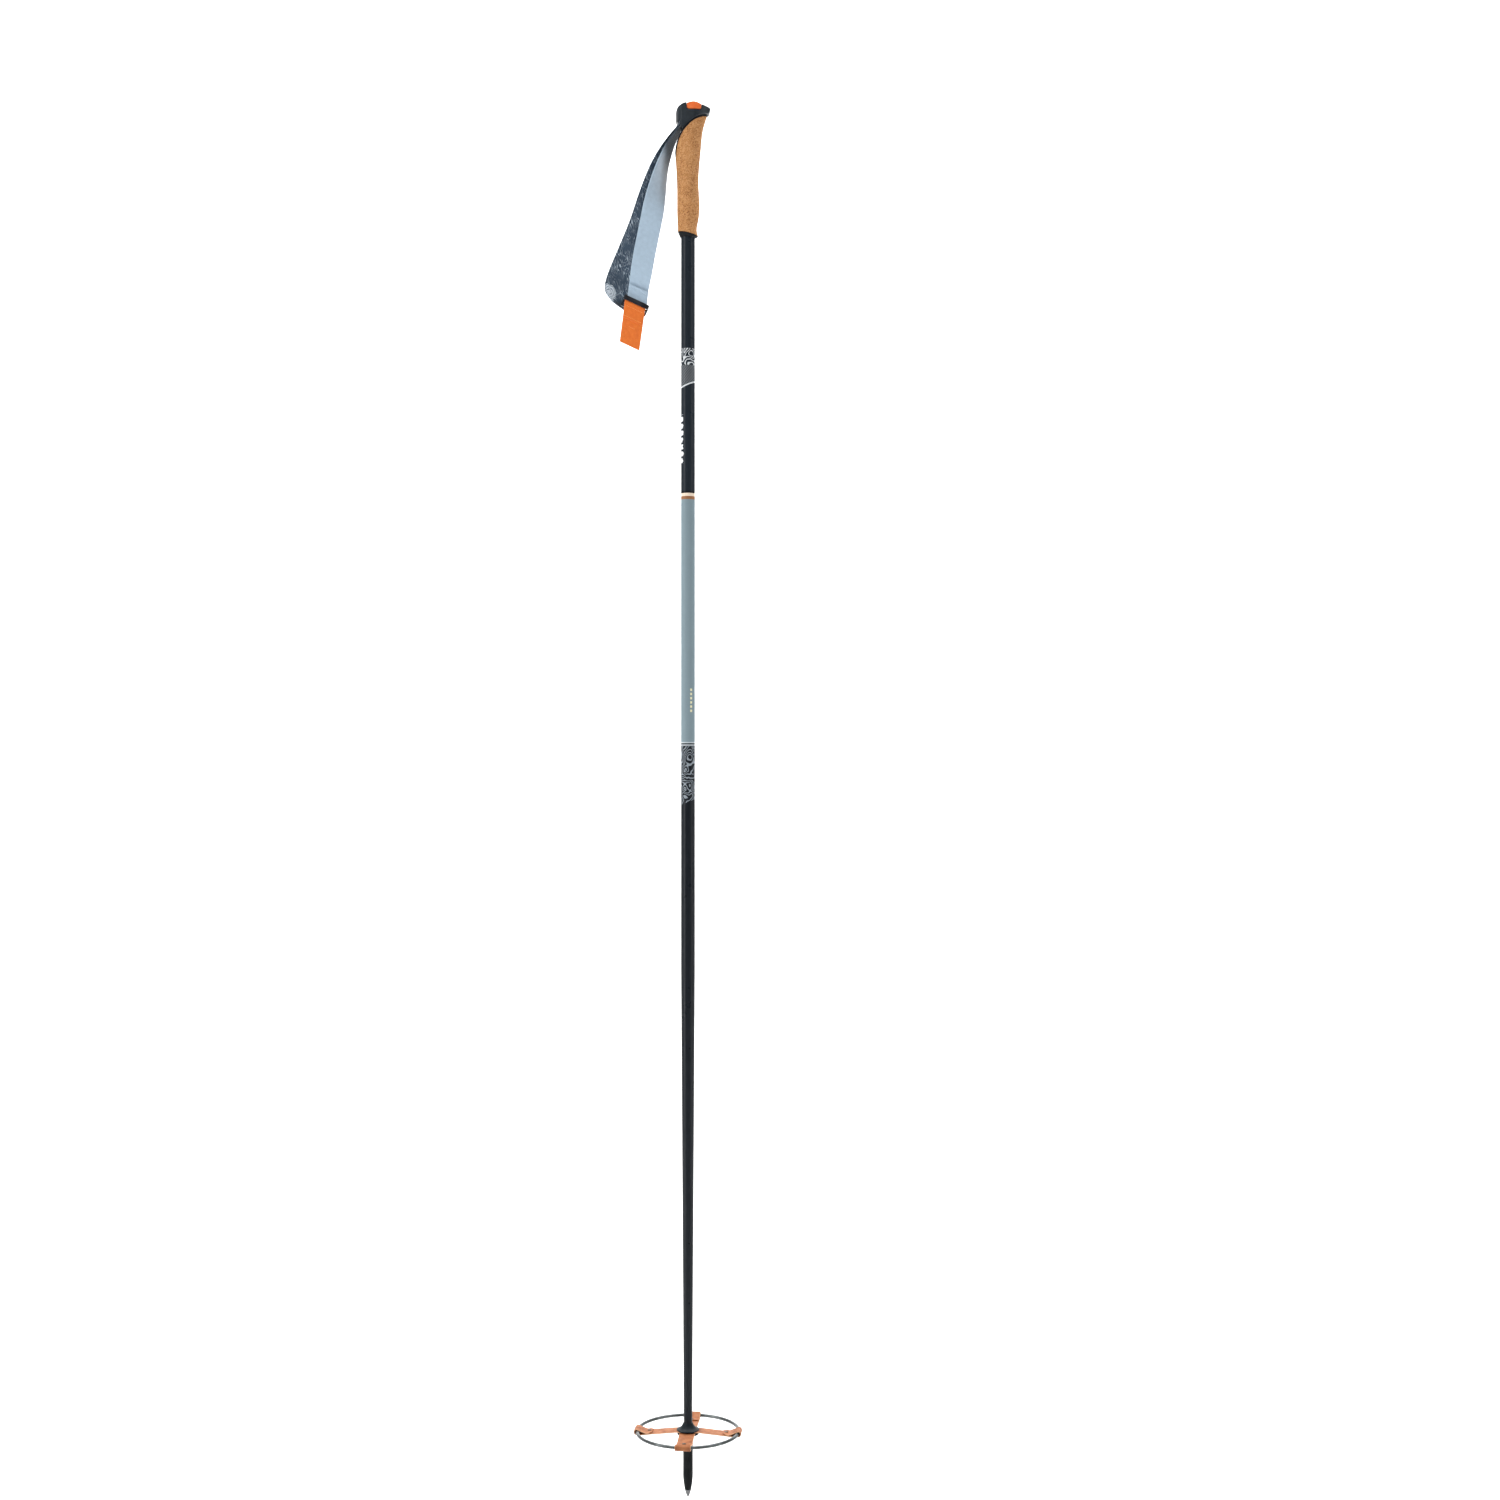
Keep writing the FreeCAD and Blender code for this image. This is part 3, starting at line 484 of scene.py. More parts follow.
@dataclass(frozen=True)
class TubePaint:
    """Satin tube paint: dark foot, printed height lines, pale band, dark upper part with prints."""

    foot: Colour = (0.004, 0.006, 0.009)
    upper: Colour = (0.008, 0.013, 0.019)
    pale: Colour = (0.20, 0.265, 0.295)
    ink: Colour = (0.25, 0.285, 0.32)
    cream: Colour = (0.80, 0.66, 0.52)
    trim: Colour = (0.003, 0.003, 0.004)
    brown: Colour = (0.30, 0.13, 0.055)
    print_low: float = 0.789
    print_high: float = 0.857
    band_low: float = 1.132
    band_middle: float = 1.1355
    band_high: float = 1.139
    crest_low: float = 1.262
    crest_middle: float = 1.284
    crest_high: float = 1.303
    rule_ink: Colour = (0.50, 0.55, 0.58)
    crest_ink: Colour = (0.62, 0.65, 0.67)
    label_ink: Colour = (0.78, 0.74, 0.46)
    mark_ink: Colour = (0.80, 0.82, 0.84)
    dust: Colour = (0.30, 0.33, 0.36)
    label_low: float = 0.889
    label_high: float = 0.918
    mark_low: float = 1.171
    mark_high: float = 1.228

    def make(self) -> Material:
        """Build the material."""
        graph = Graph("tube_paint")
        place = graph.object_place()
        x, y, z = graph.split(place)
        grain = graph.noise(graph.object_place((1, 1, 0.05)), 900, 3)
        height = self.height_lines(graph)
        colour = graph.mix(graph.above(z, self.print_high), self.foot, self.pale)
        for low, paint in (
            (self.band_low, self.brown),
            (self.band_middle, self.cream),
            (self.band_high, self.trim),
            (self.band_high + 0.0022, self.upper),
        ):
            colour = graph.mix(graph.above(z, low), colour, paint)
        colour = graph.mix(graph.times(height, self.wavy_band(graph, x, z)), colour, self.ink)
        colour = graph.mix(self.border_lines(graph, z), colour, self.rule_ink)
        colour = graph.mix(self.crest(graph, x, z, height), colour, self.crest_ink)
        colour = graph.mix(self.label_bars(graph, x, y, z), colour, self.label_ink)
        colour = graph.mix(self.upper_marks(graph, x, y, z), colour, self.mark_ink)
        colour = graph.mix(graph.times(grain, 0.03), colour, self.dust)
        rough = graph.ramp(graph.noise(place, 60, 3), [(0.3, (0.27, 0.27, 0.27)), (0.7, (0.36, 0.36, 0.36))])
        normal = graph.bump(grain, 0.06, 0.0004)
        return graph.finish(colour, rough, normal, Specular_IOR_Level=0.16)

    @staticmethod
    def height_lines(graph: Graph) -> Socket:
        """Thin lines of equal height, as on a walker's map."""
        land = graph.noise(graph.object_place((1, 1, 0.8)), 62, 1.5)
        return graph.stripes(land, 15.0, 0.17)

    def wavy_band(self, graph: Graph, x: Socket, z: Socket) -> Socket:
        """Zone of the lower print, its lower edge curved round the tube."""
        edge = graph.math("SUBTRACT", z, graph.times(x, 0.4))
        low = graph.above(edge, self.print_low)
        return graph.times(low, graph.below(z, self.print_high - 0.0045))

    def border_lines(self, graph: Graph, z: Socket) -> Socket:
        """Two fine lines that close the lower print."""
        upper = graph.line(z, self.print_high - 0.0006, 0.0006)
        lower = graph.line(z, self.print_high - 0.0034, 0.0006)
        return graph.math("MAXIMUM", upper, lower)

    def crest(self, graph: Graph, x: Socket, z: Socket, height: Socket) -> Socket:
        """Plain print under the grip: height lines, a faint slanting fan and a slanting foot line."""
        foot_height = graph.math("SUBTRACT", z, graph.times(x, 0.42))
        lines = graph.times(height, graph.between(z, self.crest_middle, self.crest_high))
        slant = graph.plus(graph.times(x, 520.0), graph.times(z, 300.0))
        facets = graph.line(graph.math("FRACT", slant), 0.5, 0.3)
        zone = graph.times(graph.below(z, self.crest_middle), graph.above(foot_height, self.crest_low))
        fan = graph.times(graph.times(facets, zone), 0.22)
        foot = graph.line(foot_height, self.crest_low, 0.0008)
        return graph.math("MAXIMUM", graph.math("MAXIMUM", lines, fan), foot)

    def label_bars(self, graph: Graph, x: Socket, y: Socket, z: Socket) -> Socket:
        """Plain pale bars at the front right of the pale section."""
        side = graph.times(graph.between(x, 0.0028, 0.0048), graph.below(y, 0.0))
        bars = graph.stripes(z, 210.0, 0.28, 0.4)
        zone = graph.between(z, self.label_low, self.label_high)
        return graph.times(graph.times(side, bars), zone)

    def upper_marks(self, graph: Graph, x: Socket, y: Socket, z: Socket) -> Socket:
        """Plain dashes down the rear edge of the upper part."""
        uneven = graph.noise(graph.object_place((0, 0, 1)), 210, 1)
        edge = graph.plus(graph.times(uneven, 0.005), -0.0080)
        side = graph.times(graph.below(x, edge), graph.below(y, 0.0))
        dashes = graph.stripes(z, 128.0, 0.34)
        zone = graph.between(z, self.mark_low, self.mark_high)
        return graph.times(graph.times(side, dashes), zone)


@dataclass(frozen=True)
class CorkGrain:
    """Pressed cork: pale and dark granules, pores and a sanded surface."""

    pale: Colour = (0.50, 0.240, 0.088)
    middle: Colour = (0.40, 0.175, 0.060)
    dark: Colour = (0.20, 0.075, 0.024)
    bright: Colour = (0.58, 0.31, 0.13)
    pore: Colour = (0.07, 0.03, 0.014)

    def make(self) -> Material:
        """Build the material."""
        graph = Graph("cork_grain")
        place = graph.object_place((1, 1, 0.75))
        granules = graph.cells(place, 1250, "Color")
        shade = graph.split(granules)[0]
        cloud = graph.noise(place, 110, 5)
        blend = graph.plus(graph.times(shade, 0.62), graph.times(cloud, 0.42))
        colour = graph.ramp(blend, [(0.16, self.dark), (0.34, self.middle), (0.62, self.pale),
                                    (0.92, self.bright)])
        specks = graph.below(graph.cells(place, 480), 0.13)
        colour = graph.mix(graph.times(specks, 0.75), colour, self.pore)
        pores = graph.math("SUBTRACT", 1.0, specks)
        relief = graph.plus(graph.times(pores, 0.7), graph.times(shade, 0.3))
        return graph.finish(colour, 0.78, graph.bump(relief, 0.35, 0.0005), Specular_IOR_Level=0.3)


@dataclass(frozen=True)
class Moulding:
    """Moulded plastic or rubber with a fine spark-eroded grain and paler worn places."""

    name: str
    colour: tuple[float, float, float]
    worn: tuple[float, float, float]
    roughness: float
    grain: float = 2600.0
    relief: float = 0.12
    shine: float = 0.35

    def make(self) -> Material:
        """Build the material."""
        graph = Graph(self.name)
        place = graph.object_place()
        wear = graph.noise(place, 95, 6)
        colour = graph.mix(graph.rise(wear, 0.45, 0.75), self.colour, self.worn)
        rough = graph.plus(self.roughness - 0.06, graph.times(wear, 0.14))
        normal = graph.bump(graph.noise(place, self.grain, 2), self.relief, 0.0003)
        return graph.finish(colour, rough, normal, Specular_IOR_Level=self.shine)


@dataclass(frozen=True)
class BrushedMetal:
    """Turned or drawn metal with fine marks and dull patches."""

    name: str
    colour: tuple[float, float, float]
    roughness: float
    stretch: tuple[float, float, float] = (1.0, 1.0, 12.0)
    metallic: float = 1.0

    def make(self) -> Material:
        """Build the material."""
        graph = Graph(self.name)
        marks = graph.noise(graph.object_place(self.stretch), 900, 4)
        patches = graph.noise(graph.object_place(), 140, 5)
        dull = tuple(0.55 * part for part in self.colour)
        colour = graph.mix(graph.rise(patches, 0.4, 0.7), self.colour, dull)
        rough = graph.plus(self.roughness - 0.08, graph.times(patches, 0.2))
        return graph.finish(colour, rough, graph.bump(marks, 0.10, 0.0003), Metallic=self.metallic)


@dataclass(frozen=True)
class StrapLeather:
    """Waxed leather strap with a fine grain and pale cut edges."""

    face: Colour = (0.31, 0.112, 0.043)
    deep: Colour = (0.19, 0.062, 0.022)
    bright: Colour = (0.37, 0.150, 0.062)
    edge: Colour = (0.50, 0.27, 0.15)
    half_width: float = 0.009

    def make(self) -> Material:
        """Build the material."""
        graph = Graph("strap_leather")
        place = graph.object_place()
        cloud = graph.noise(place, 120, 6)
        colour = graph.ramp(cloud, [(0.32, self.deep), (0.55, self.face), (0.8, self.bright)])
        across = graph.math("ABSOLUTE", graph.split(graph.surface_place())[0])
        cut = graph.above(across, self.half_width - 0.0007)
        colour = graph.mix(graph.times(cut, 0.85), colour, self.edge)
        grain = graph.cells(place, 1500)
        normal = graph.bump(grain, 0.30, 0.0004, graph.bump(cloud, 0.2, 0.0006))
        return graph.finish(colour, 0.58, normal, Specular_IOR_Level=0.2)


class Weave(Enum):
    """Ways in which a strap's yarns lie."""

    RIBBED = "ribbed"
    TWILL = "twill"
    PLAIN = "plain"


@dataclass(frozen=True)
class Webbing:
    """Woven strap: yarns at their own scale, painted shade in the troughs between yarns mixed with random
    colour variation, painted shade towards the head where asked, and a soft sheen.
    """

    name: str
    # shade is a darker copy of colour, painted into the troughs between yarns as painted shade
    colour: tuple[float, float, float]
    shade: tuple[float, float, float]
    weave: Weave
    pitch: float = 0.0011
    relief: float = 0.5
    # painted shade: when switched on, the strap is coloured darker towards the head
    painted_root_shade: bool = False
    root_shade_colour: Colour = (0.030, 0.045, 0.065)

    def make(self) -> Material:
        """Build the material."""
        graph = Graph(self.name)
        yarns = self.yarn_height(graph)
        cloud = graph.noise(graph.surface_place(), 220, 5)
        tone = graph.plus(graph.times(yarns, 0.65), graph.times(cloud, 0.45))
        # painted shade: low yarn height takes the darker shade colour, and random cloudy tone is mixed in
        colour = graph.mix(graph.rise(tone, 0.25, 0.85), self.shade, self.colour)
        # painted shade: the colour darkens towards the head, standing in for the shade the strap lies in
        # there
        if self.painted_root_shade:
            colour = graph.mix(self.painted_shade_near_head(graph), colour, self.root_shade_colour)
        return graph.finish(colour, 0.82, graph.bump(yarns, self.relief, 0.0004), Sheen_Weight=0.25,
                            Sheen_Roughness=0.5, Specular_IOR_Level=0.25)

    @staticmethod
    def painted_shade_near_head(graph: Graph) -> Socket:
        """Share of painted shade near the head, which fades out down the strap along a slanting border."""
        x, _, z = graph.split(graph.object_place())
        slant = graph.plus(z, graph.times(x, 4.0))
        fade = graph.node("ShaderNodeMapRange", interpolation_type="SMOOTHSTEP")
        graph.feed(slant, fade.inputs["Value"])
        fade.inputs["From Min"].default_value = 1.385
        fade.inputs["From Max"].default_value = 1.445
        return fade.outputs["Result"]

    def yarn_height(self, graph: Graph) -> Socket:
        """Height of the yarns over the surface."""
        across, along, _ = graph.split(graph.surface_place((1 / self.pitch, 1 / self.pitch, 1)))
        if self.weave is Weave.TWILL:
            slanted = graph.plus(across, graph.times(along, 0.5))
            ridge = graph.math("PINGPONG", slanted, 0.5)
            return graph.plus(ridge, graph.times(graph.math("PINGPONG", along, 0.5), 0.5))
        if self.weave is Weave.RIBBED:
            row = graph.math("PINGPONG", graph.plus(along, graph.times(across, 0.35)), 0.5)
            column = graph.math("PINGPONG", graph.times(across, 0.55), 0.5)
            return graph.plus(graph.times(row, 0.45), graph.times(column, 1.3))
        checker = graph.math("SINE", graph.times(across, math.pi))
        other = graph.math("SINE", graph.times(along, math.pi))
        return graph.plus(graph.times(graph.times(checker, other), 0.5), 0.5)


@dataclass(frozen=True)
class PadPrint:
    """Dark pad fabric with a pale print of slanting height lines and one pale corner."""

    dark: Colour = (0.018, 0.030, 0.050)
    blue: Colour = (0.045, 0.075, 0.11)
    ink: Colour = (0.36, 0.42, 0.48)
    corner: Colour = (0.52, 0.58, 0.64)

    def make(self, corner: Vector) -> Material:
        """Build the material with its pale corner at a place."""
        graph = Graph("pad_print")
        stretched = graph.surface_place((4.6, 0.62, 1), 58, "TEXTURE")
        land = graph.noise(stretched, 95, 2.2)
        lines = graph.stripes(land, 19.0, 0.12)
        strength = graph.rise(graph.noise(graph.surface_place(), 75, 3), 0.38, 0.62)
        cloth = graph.mix(graph.noise(graph.surface_place(), 60, 4), self.dark, self.blue)
        colour = graph.mix(graph.times(lines, strength), cloth, self.ink)
        near = graph.node("ShaderNodeVectorMath", operation="DISTANCE")
        graph.feed(graph.object_place(), near.inputs[0])
        near.inputs[1].default_value = corner
        reach = graph.plus(near.outputs["Value"], graph.times(land, 0.010))
        patch = graph.below(reach, 0.0165)
        rings = graph.stripes(reach, 420.0, 0.16)
        pale = graph.mix(graph.times(rings, 0.8), self.corner, self.blue)
        colour = graph.mix(patch, colour, pale)
        across, along, _ = graph.split(graph.surface_place((2600, 2600, 1)))
        knit = graph.times(graph.math("SINE", across), graph.math("SINE", along))
        return graph.finish(colour, 0.8, graph.bump(knit, 0.25, 0.0003), Sheen_Weight=0.2,
                            Sheen_Roughness=0.5, Specular_IOR_Level=0.25)


@dataclass(frozen=True)
class Palette:
    """Every finish of the pole, built once."""

    tube: Material
    cork: Material
    head: Material
    wedge: Material
    black: Material
    ferrule: Material
    cone: Material
    steel: Material
    ring: Material
    rivet: Material
    leather: Material
    webbing: Material
    pad: Material
    lining: Material
    tail: Material
    buckle: Material
    tab: Material
    thread: Material
    blue_thread: Material


def make_palette() -> Palette:
    """Build all finishes."""
    return Palette(
        tube=TubePaint().make(),
        cork=CorkGrain().make(),
        head=Moulding("head_moulding", (0.009, 0.014, 0.019), (0.019, 0.026, 0.033), 0.40).make(),
        wedge=Moulding("wedge_moulding", (0.74, 0.135, 0.026), (0.82, 0.20, 0.05), 0.38).make(),
        black=Moulding("core_moulding", (0.004, 0.005, 0.006), (0.009, 0.010, 0.012), 0.6, shine=0.15).make(),
        ferrule=Moulding("ferrule_moulding", (0.005, 0.006, 0.007), (0.012, 0.014, 0.015), 0.48,
                         shine=0.08).make(),
        cone=Moulding("cone_rubber", (0.007, 0.011, 0.014), (0.016, 0.022, 0.026), 0.45, shine=0.12).make(),
        steel=BrushedMetal("spike_steel", (0.13, 0.13, 0.135), 0.36).make(),
        ring=BrushedMetal("ring_metal", (0.115, 0.125, 0.125), 0.34, (1, 1, 1)).make(),
        rivet=BrushedMetal("rivet_metal", (0.10, 0.07, 0.05), 0.35, (1, 1, 1)).make(),
        leather=StrapLeather().make(),
        # the blue webbing gets painted shade towards the head
        webbing=Webbing("blue_webbing", (0.46, 0.58, 0.69), (0.30, 0.39, 0.48), Weave.RIBBED, 0.0007,
                        painted_root_shade=True).make(),
        pad=PadPrint().make(Vector((-0.0935, 0.009, 1.368))),
        lining=Webbing("pad_lining_cloth", (0.045, 0.052, 0.062), (0.015, 0.018, 0.024), Weave.PLAIN,
                       0.0009).make(),
        tail=Webbing("tail_webbing", (0.05, 0.06, 0.075), (0.015, 0.02, 0.028), Weave.RIBBED).make(),
        buckle=Moulding("buckle_moulding", (0.010, 0.010, 0.012), (0.03, 0.03, 0.034), 0.28, 1800,
                        0.06).make(),
        tab=Webbing("orange_webbing", (0.88, 0.225, 0.032), (0.60, 0.115, 0.013), Weave.TWILL, 0.0008).make(),
        thread=Moulding("orange_thread", (0.90, 0.36, 0.10), (0.72, 0.24, 0.05), 0.6).make(),
        blue_thread=Moulding("blue_thread", (0.58, 0.68, 0.78), (0.42, 0.51, 0.60), 0.6).make(),
    )


def dress(piece: Piece, material: Material) -> None:
    """Give a piece one finish and log its face count."""
    piece.data.materials.clear()
    piece.data.materials.append(material)
    LOG.info("%s: %d faces in %s", piece.name, len(piece.data.polygons), material.name)


# ---------------------------------------------------------------- sub-assemblies


@dataclass
class Shaft:
    """Tapered tube with its ferrule and steel spike."""

    palette: Palette
    wall: float = 1.0 * MM
    foot_radius: float = 4.83 * MM
    taper_low: float = 0.084
    taper_high: float = 0.600
    ferrule_radius: float = 5.6 * MM
    ferrule_bore: float = 4.86 * MM
    ferrule_shoulder: float = 0.025
    flange_low: float = 0.0698
    flange_high: float = 0.0714
    flange_radius: float = 0.0085

    def build(self) -> None:
        """Model and dress the tube, the ferrule and the spike."""
        low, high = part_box("shaft_tube")
        radius = high.x
        foot = self.foot_radius
        tube = lathe("tube", [
            (foot, low.z), (foot, self.taper_low), (radius, self.taper_high), (radius, high.z),
            (radius - self.wall, high.z), (radius - self.wall, self.taper_high),
            (foot - self.wall, self.taper_low), (foot - self.wall, low.z), (foot, low.z),
        ], 128)
        dress(tube, self.palette.tube)
        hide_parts("shaft_tube")
        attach(tube, "pole")
        self.build_ferrule()
        self.build_spike()

    def build_ferrule(self) -> None:
        """Ferrule with a fine ridge where the walking tip stops."""
        low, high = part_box("tip_ferrule")
        body = self.ferrule_radius
        ridge = body + 0.25 * MM
        nose = curve_points((3.7 * MM, low.z), (5.5 * MM, low.z + 0.011), (body, self.ferrule_shoulder), 10)
        ferrule = lathe("ferrule", nose + [
            (body, 0.060), (ridge, 0.0604), (ridge, 0.0616), (body, 0.062),
            (body, self.flange_low), (self.flange_radius, self.flange_low),
            (self.flange_radius, self.flange_high), (body, self.flange_high),
            (body, high.z), (self.ferrule_bore, high.z), (self.ferrule_bore, 0.046),
            (2.3 * MM, 0.044), (2.23 * MM, low.z), (3.7 * MM, low.z),
        ])
        soften(ferrule, 0.2 * MM)
        dress(ferrule, self.palette.ferrule)
        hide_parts("tip_ferrule")
        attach(ferrule, "pole")

    def build_spike(self) -> None:
        """Steel point with a turned shoulder."""
        low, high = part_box("tip_spike")
        nose = curve_points((0.35 * MM, low.z + 0.00002), (2.5 * MM, 0.0042), (3.66 * MM, 0.0088), 10)
        spike = lathe("spike", nose + [(3.5 * MM, 0.0090), (2.2 * MM, 0.0092), (2.2 * MM, high.z)])
        dress(spike, self.palette.steel)
        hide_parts("tip_spike")
        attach(spike, "pole")


@dataclass
class Grip:
    """Cork, its core and collar, the head and the strap's lock wedge."""

    palette: Palette
    seat_fill: float = 1.035

    def build(self) -> None:
        """Model and dress the grip's pieces."""
        for node, name, voxel, rounds, material, slot, body in (
            ("cork_grip", "cork", 0.55 * MM, 5, self.palette.cork, "cork", "pole"),
            ("grip_head", "head", 0.40 * MM, 12, self.palette.head, "head_plastic", "pole"),
            ("grip_collar", "collar", 0.40 * MM, 3, self.palette.black, "collar_rubber", "pole"),
            ("strap_lock_wedge", "lock_wedge_moulding", 0.35 * MM, 8, self.palette.wedge, "wedge_plastic",
             "lock_wedge"),
        ):
            piece = moulded_copy(node, name, voxel, rounds)
            if node == "strap_lock_wedge":
                self.fill_seat(piece)
            dress(piece, material)
            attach(piece, body)
        for node, material in (("grip_core", self.palette.black), ("strap_anchor_pin", self.palette.steel),
                               ("strap_root", self.palette.webbing)):
            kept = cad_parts[node]
            kept.data.materials.clear()
            kept.data.materials.append(material)

    def fill_seat(self, wedge: Piece) -> None:
        """Lengthen the wedge until only a hairline stays open at its two ends."""
        middle = sum(vertex.co.x for vertex in wedge.data.vertices) / len(wedge.data.vertices)
        for vertex in wedge.data.vertices:
            vertex.co.x = middle + (vertex.co.x - middle) * self.seat_fill


@dataclass
class Basket:
    """Hub and cone, wire ring and the leather straps between them."""

    palette: Palette
    turn: float = -4.0
    ring_radius: float = 0.0576
    wire: float = 0.0019
    height: float = 0.075
    leather: float = 0.0014
    strap_width: float = 0.018
    under_gap: float = 0.0003
    hub_reach: float = 0.0078
    bend_reach: float = 0.0142
    dip_reach: float = 0.0516
    rivet_reach: float = 0.0435
    upper_level: float = 0.0750
    lower_level: float = 0.0736

    def build(self) -> None:
        """Model and dress the basket."""
        self.build_hub()
        self.build_ring()
        for number, side in enumerate(("right", "rear_side", "left", "front_side")):
            self.build_arm(side, number)

    def build_hub(self) -> None:
        """Hub with its flange, and the soft cone above the straps."""
        low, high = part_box("basket_hub")
        sleeve, bore = 7.4 * MM, 5.66 * MM
        hub = lathe("hub", [
            (bore, low.z), (high.x, low.z), (high.x, self.lower_level), (sleeve, self.lower_level),
            (sleeve, high.z), (bore, high.z), (bore, low.z),
        ])
        soften(hub, 0.3 * MM)
        dress(hub, self.palette.cone)
        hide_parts("basket_hub")
        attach(hub, "hub")
        low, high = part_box("hub_cone")
        flank = curve_points((high.x, low.z + 1.0 * MM), (7.3 * MM, low.z + 2.4 * MM), (5.6 * MM, high.z), 12)
        socket, throat, step = 7.45 * MM, 5.06 * MM, 0.0812
        cone = lathe("cone", [(socket, low.z), (high.x, low.z)] + flank + [
            (throat, high.z), (throat, step), (socket, step), (socket, low.z),
        ])
        soften(cone, 0.25 * MM)
        dress(cone, self.palette.cone)
        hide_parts("hub_cone")
        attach(cone, "hub")

    def build_ring(self) -> None:
        """Drawn wire ring."""
        start_clean()
        bpy.ops.mesh.primitive_torus_add(major_radius=self.ring_radius, minor_radius=self.wire,
                                         major_segments=192, minor_segments=24, location=(0, 0, self.height))
        ring = settle(bpy.context.object, 60)
        ring.name = "wire_ring"
        dress(ring, self.palette.ring)
        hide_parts("basket_ring")
        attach(ring, "basket")

    def arm_route(self, level: float) -> list[tuple[float, float]]:
        """Middle line of an arm: out from the hub, under the ring, over it and back onto itself."""
        half = self.leather / 2
        loop = self.wire + self.under_gap + half
        slope = (level + half - (self.height - loop)) / (self.dip_reach - self.bend_reach)
        route = [(self.hub_reach, level + half), (self.bend_reach, level + half),
                 (self.dip_reach, self.height - loop)]
        for angle in range(-90, 91, 20):
            route.append((self.ring_radius + loop * math.cos(math.radians(angle)),
                          self.height + loop * math.sin(math.radians(angle))))
        for place in (0.0475, 0.0440, 0.0400):
            route.append((place, level + half - (place - self.bend_reach) * slope + self.leather))
        return route

    def build_arm(self, side: str, number: int) -> None:
        """One strap arm with its rivet.

        Args:
            side: Name of the side of the pole that the arm reaches to.
            number: Quarter turns from the front of the grip.
        """
        upper = number % 2 == 0
        level = self.upper_level if upper else self.lower_level
        angle = math.radians(self.turn + 90 * number)
        outward = Vector((math.cos(angle), math.sin(angle), 0))
        across = Vector((-math.sin(angle), math.cos(angle), 0))
        stations = []
        route = self.arm_route(level)
        for place, (reach, height) in enumerate(route):
            narrow = 0.70 if place == len(route) - 1 else 1.0
            stations.append(Station(outward * reach + Vector((0, 0, height)), across,
                                    self.strap_width * narrow, self.leather))
        arm = skin("leather_arm_" + side, refine(stations, 4), flat_section(28, 0.35))
        dress(arm, self.palette.leather)
        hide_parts("cross_strap_upper" if upper else "cross_strap_lower")
        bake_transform(arm)
        self.build_rivet(side, outward * self.rivet_reach, route[-2][1])

    def build_rivet(self, side: str, place: Vector, height: float) -> None:
        """Domed rivet through the folded end of an arm."""
        top = height + self.leather / 2
        foot = height - 1.5 * self.leather
        base = foot - 0.5 * MM
        crown = top + 0.9 * MM
        tip, shank, rim, head = 0.05 * MM, 1.45 * MM, 2.2 * MM, 2.3 * MM
        dome = curve_points((head, top + 0.1 * MM), (rim, crown), (tip, crown), 8)
        rivet = lathe("rivet_" + side, [(tip, base), (rim, base), (head, foot), (shank, foot),
                                        (shank, top), (head, top)] + dome, 32)
        rivet.location = (place.x, place.y, 0)
        settle(rivet)
        dress(rivet, self.palette.rivet)
        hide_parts("strap_rivets")
        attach(rivet, "basket")


# middle of the webbing in mm, its turn and its slope in degrees
WEBBING_ROUTE = (
    ((-5.6, 0.0, 1560.6), 0, 28),
    ((-9.3, 0.0, 1553.6), 0, 28),
    ((-20.6, -1.0, 1532.5), 15, 28),
    ((-29.2, -2.0, 1508.5), 30, 22),
    ((-35.6, -4.0, 1479.0), 56, 16),
    ((-41.4, -6.0, 1448.0), 88, 12),
    ((-48.4, -7.0, 1413.0), 90, 14),
    ((-52.3, -6.0, 1391.0), 90, 20),
)

# the same for the pad, with its width and thickness in mm
PAD_ROUTE = (
    ((-7.2, 0.0, 1561.4), 0, 28, 24.6, 1.4),
    ((-10.9, 0.0, 1554.4), 0, 28, 25, 1.4),
    ((-24.6, 1.8, 1532.5), 17, 28, 25, 1.7),
    ((-33.6, 3.8, 1508.5), 42, 21, 27, 2.8),
    ((-41.5, 7.0, 1478.0), 70, 18, 31, 3.6),
    ((-49.8, 11.0, 1448.0), 88, 20, 35, 3.6),
    ((-62.4, 13.0, 1414.0), 90, 21, 38, 3.6),
    ((-73.0, 12.0, 1387.0), 90, 20, 39, 3.6),
    ((-78.5, 9.5, 1366.0), 90, 27, 38.5, 3.4),
    ((-77.0, 7.5, 1355.5), 90, 32, 34.5, 2.8),
    ((-74.0, 6.3, 1349.5), 90, 35, 27, 1.6),
)

# place along the bar, height across the buckle, depth behind the tab's face, width and thickness, in mm
TAB_ROUTE = (
    (-0.4, -3.4, 0.2, 25.0, 1.0),
    (-0.1, -4.6, 0.0, 25.4, 2.2),
    (0.2, -6.6, 0.0, 25.4, 2.4),
    (1.0, -9.0, 0.0, 25.4, 2.4),
    (2.4, -13.5, 0.0, 25.2, 2.4),
    (5.2, -22.2, 0.0, 25.0, 2.4),
    (5.6, -23.4, 0.2, 25.0, 1.6),
    (9.8, -37.0, 0.2, 24.8, 1.6),
    (13.7, -49.6, 0.2, 24.6, 1.6),
)


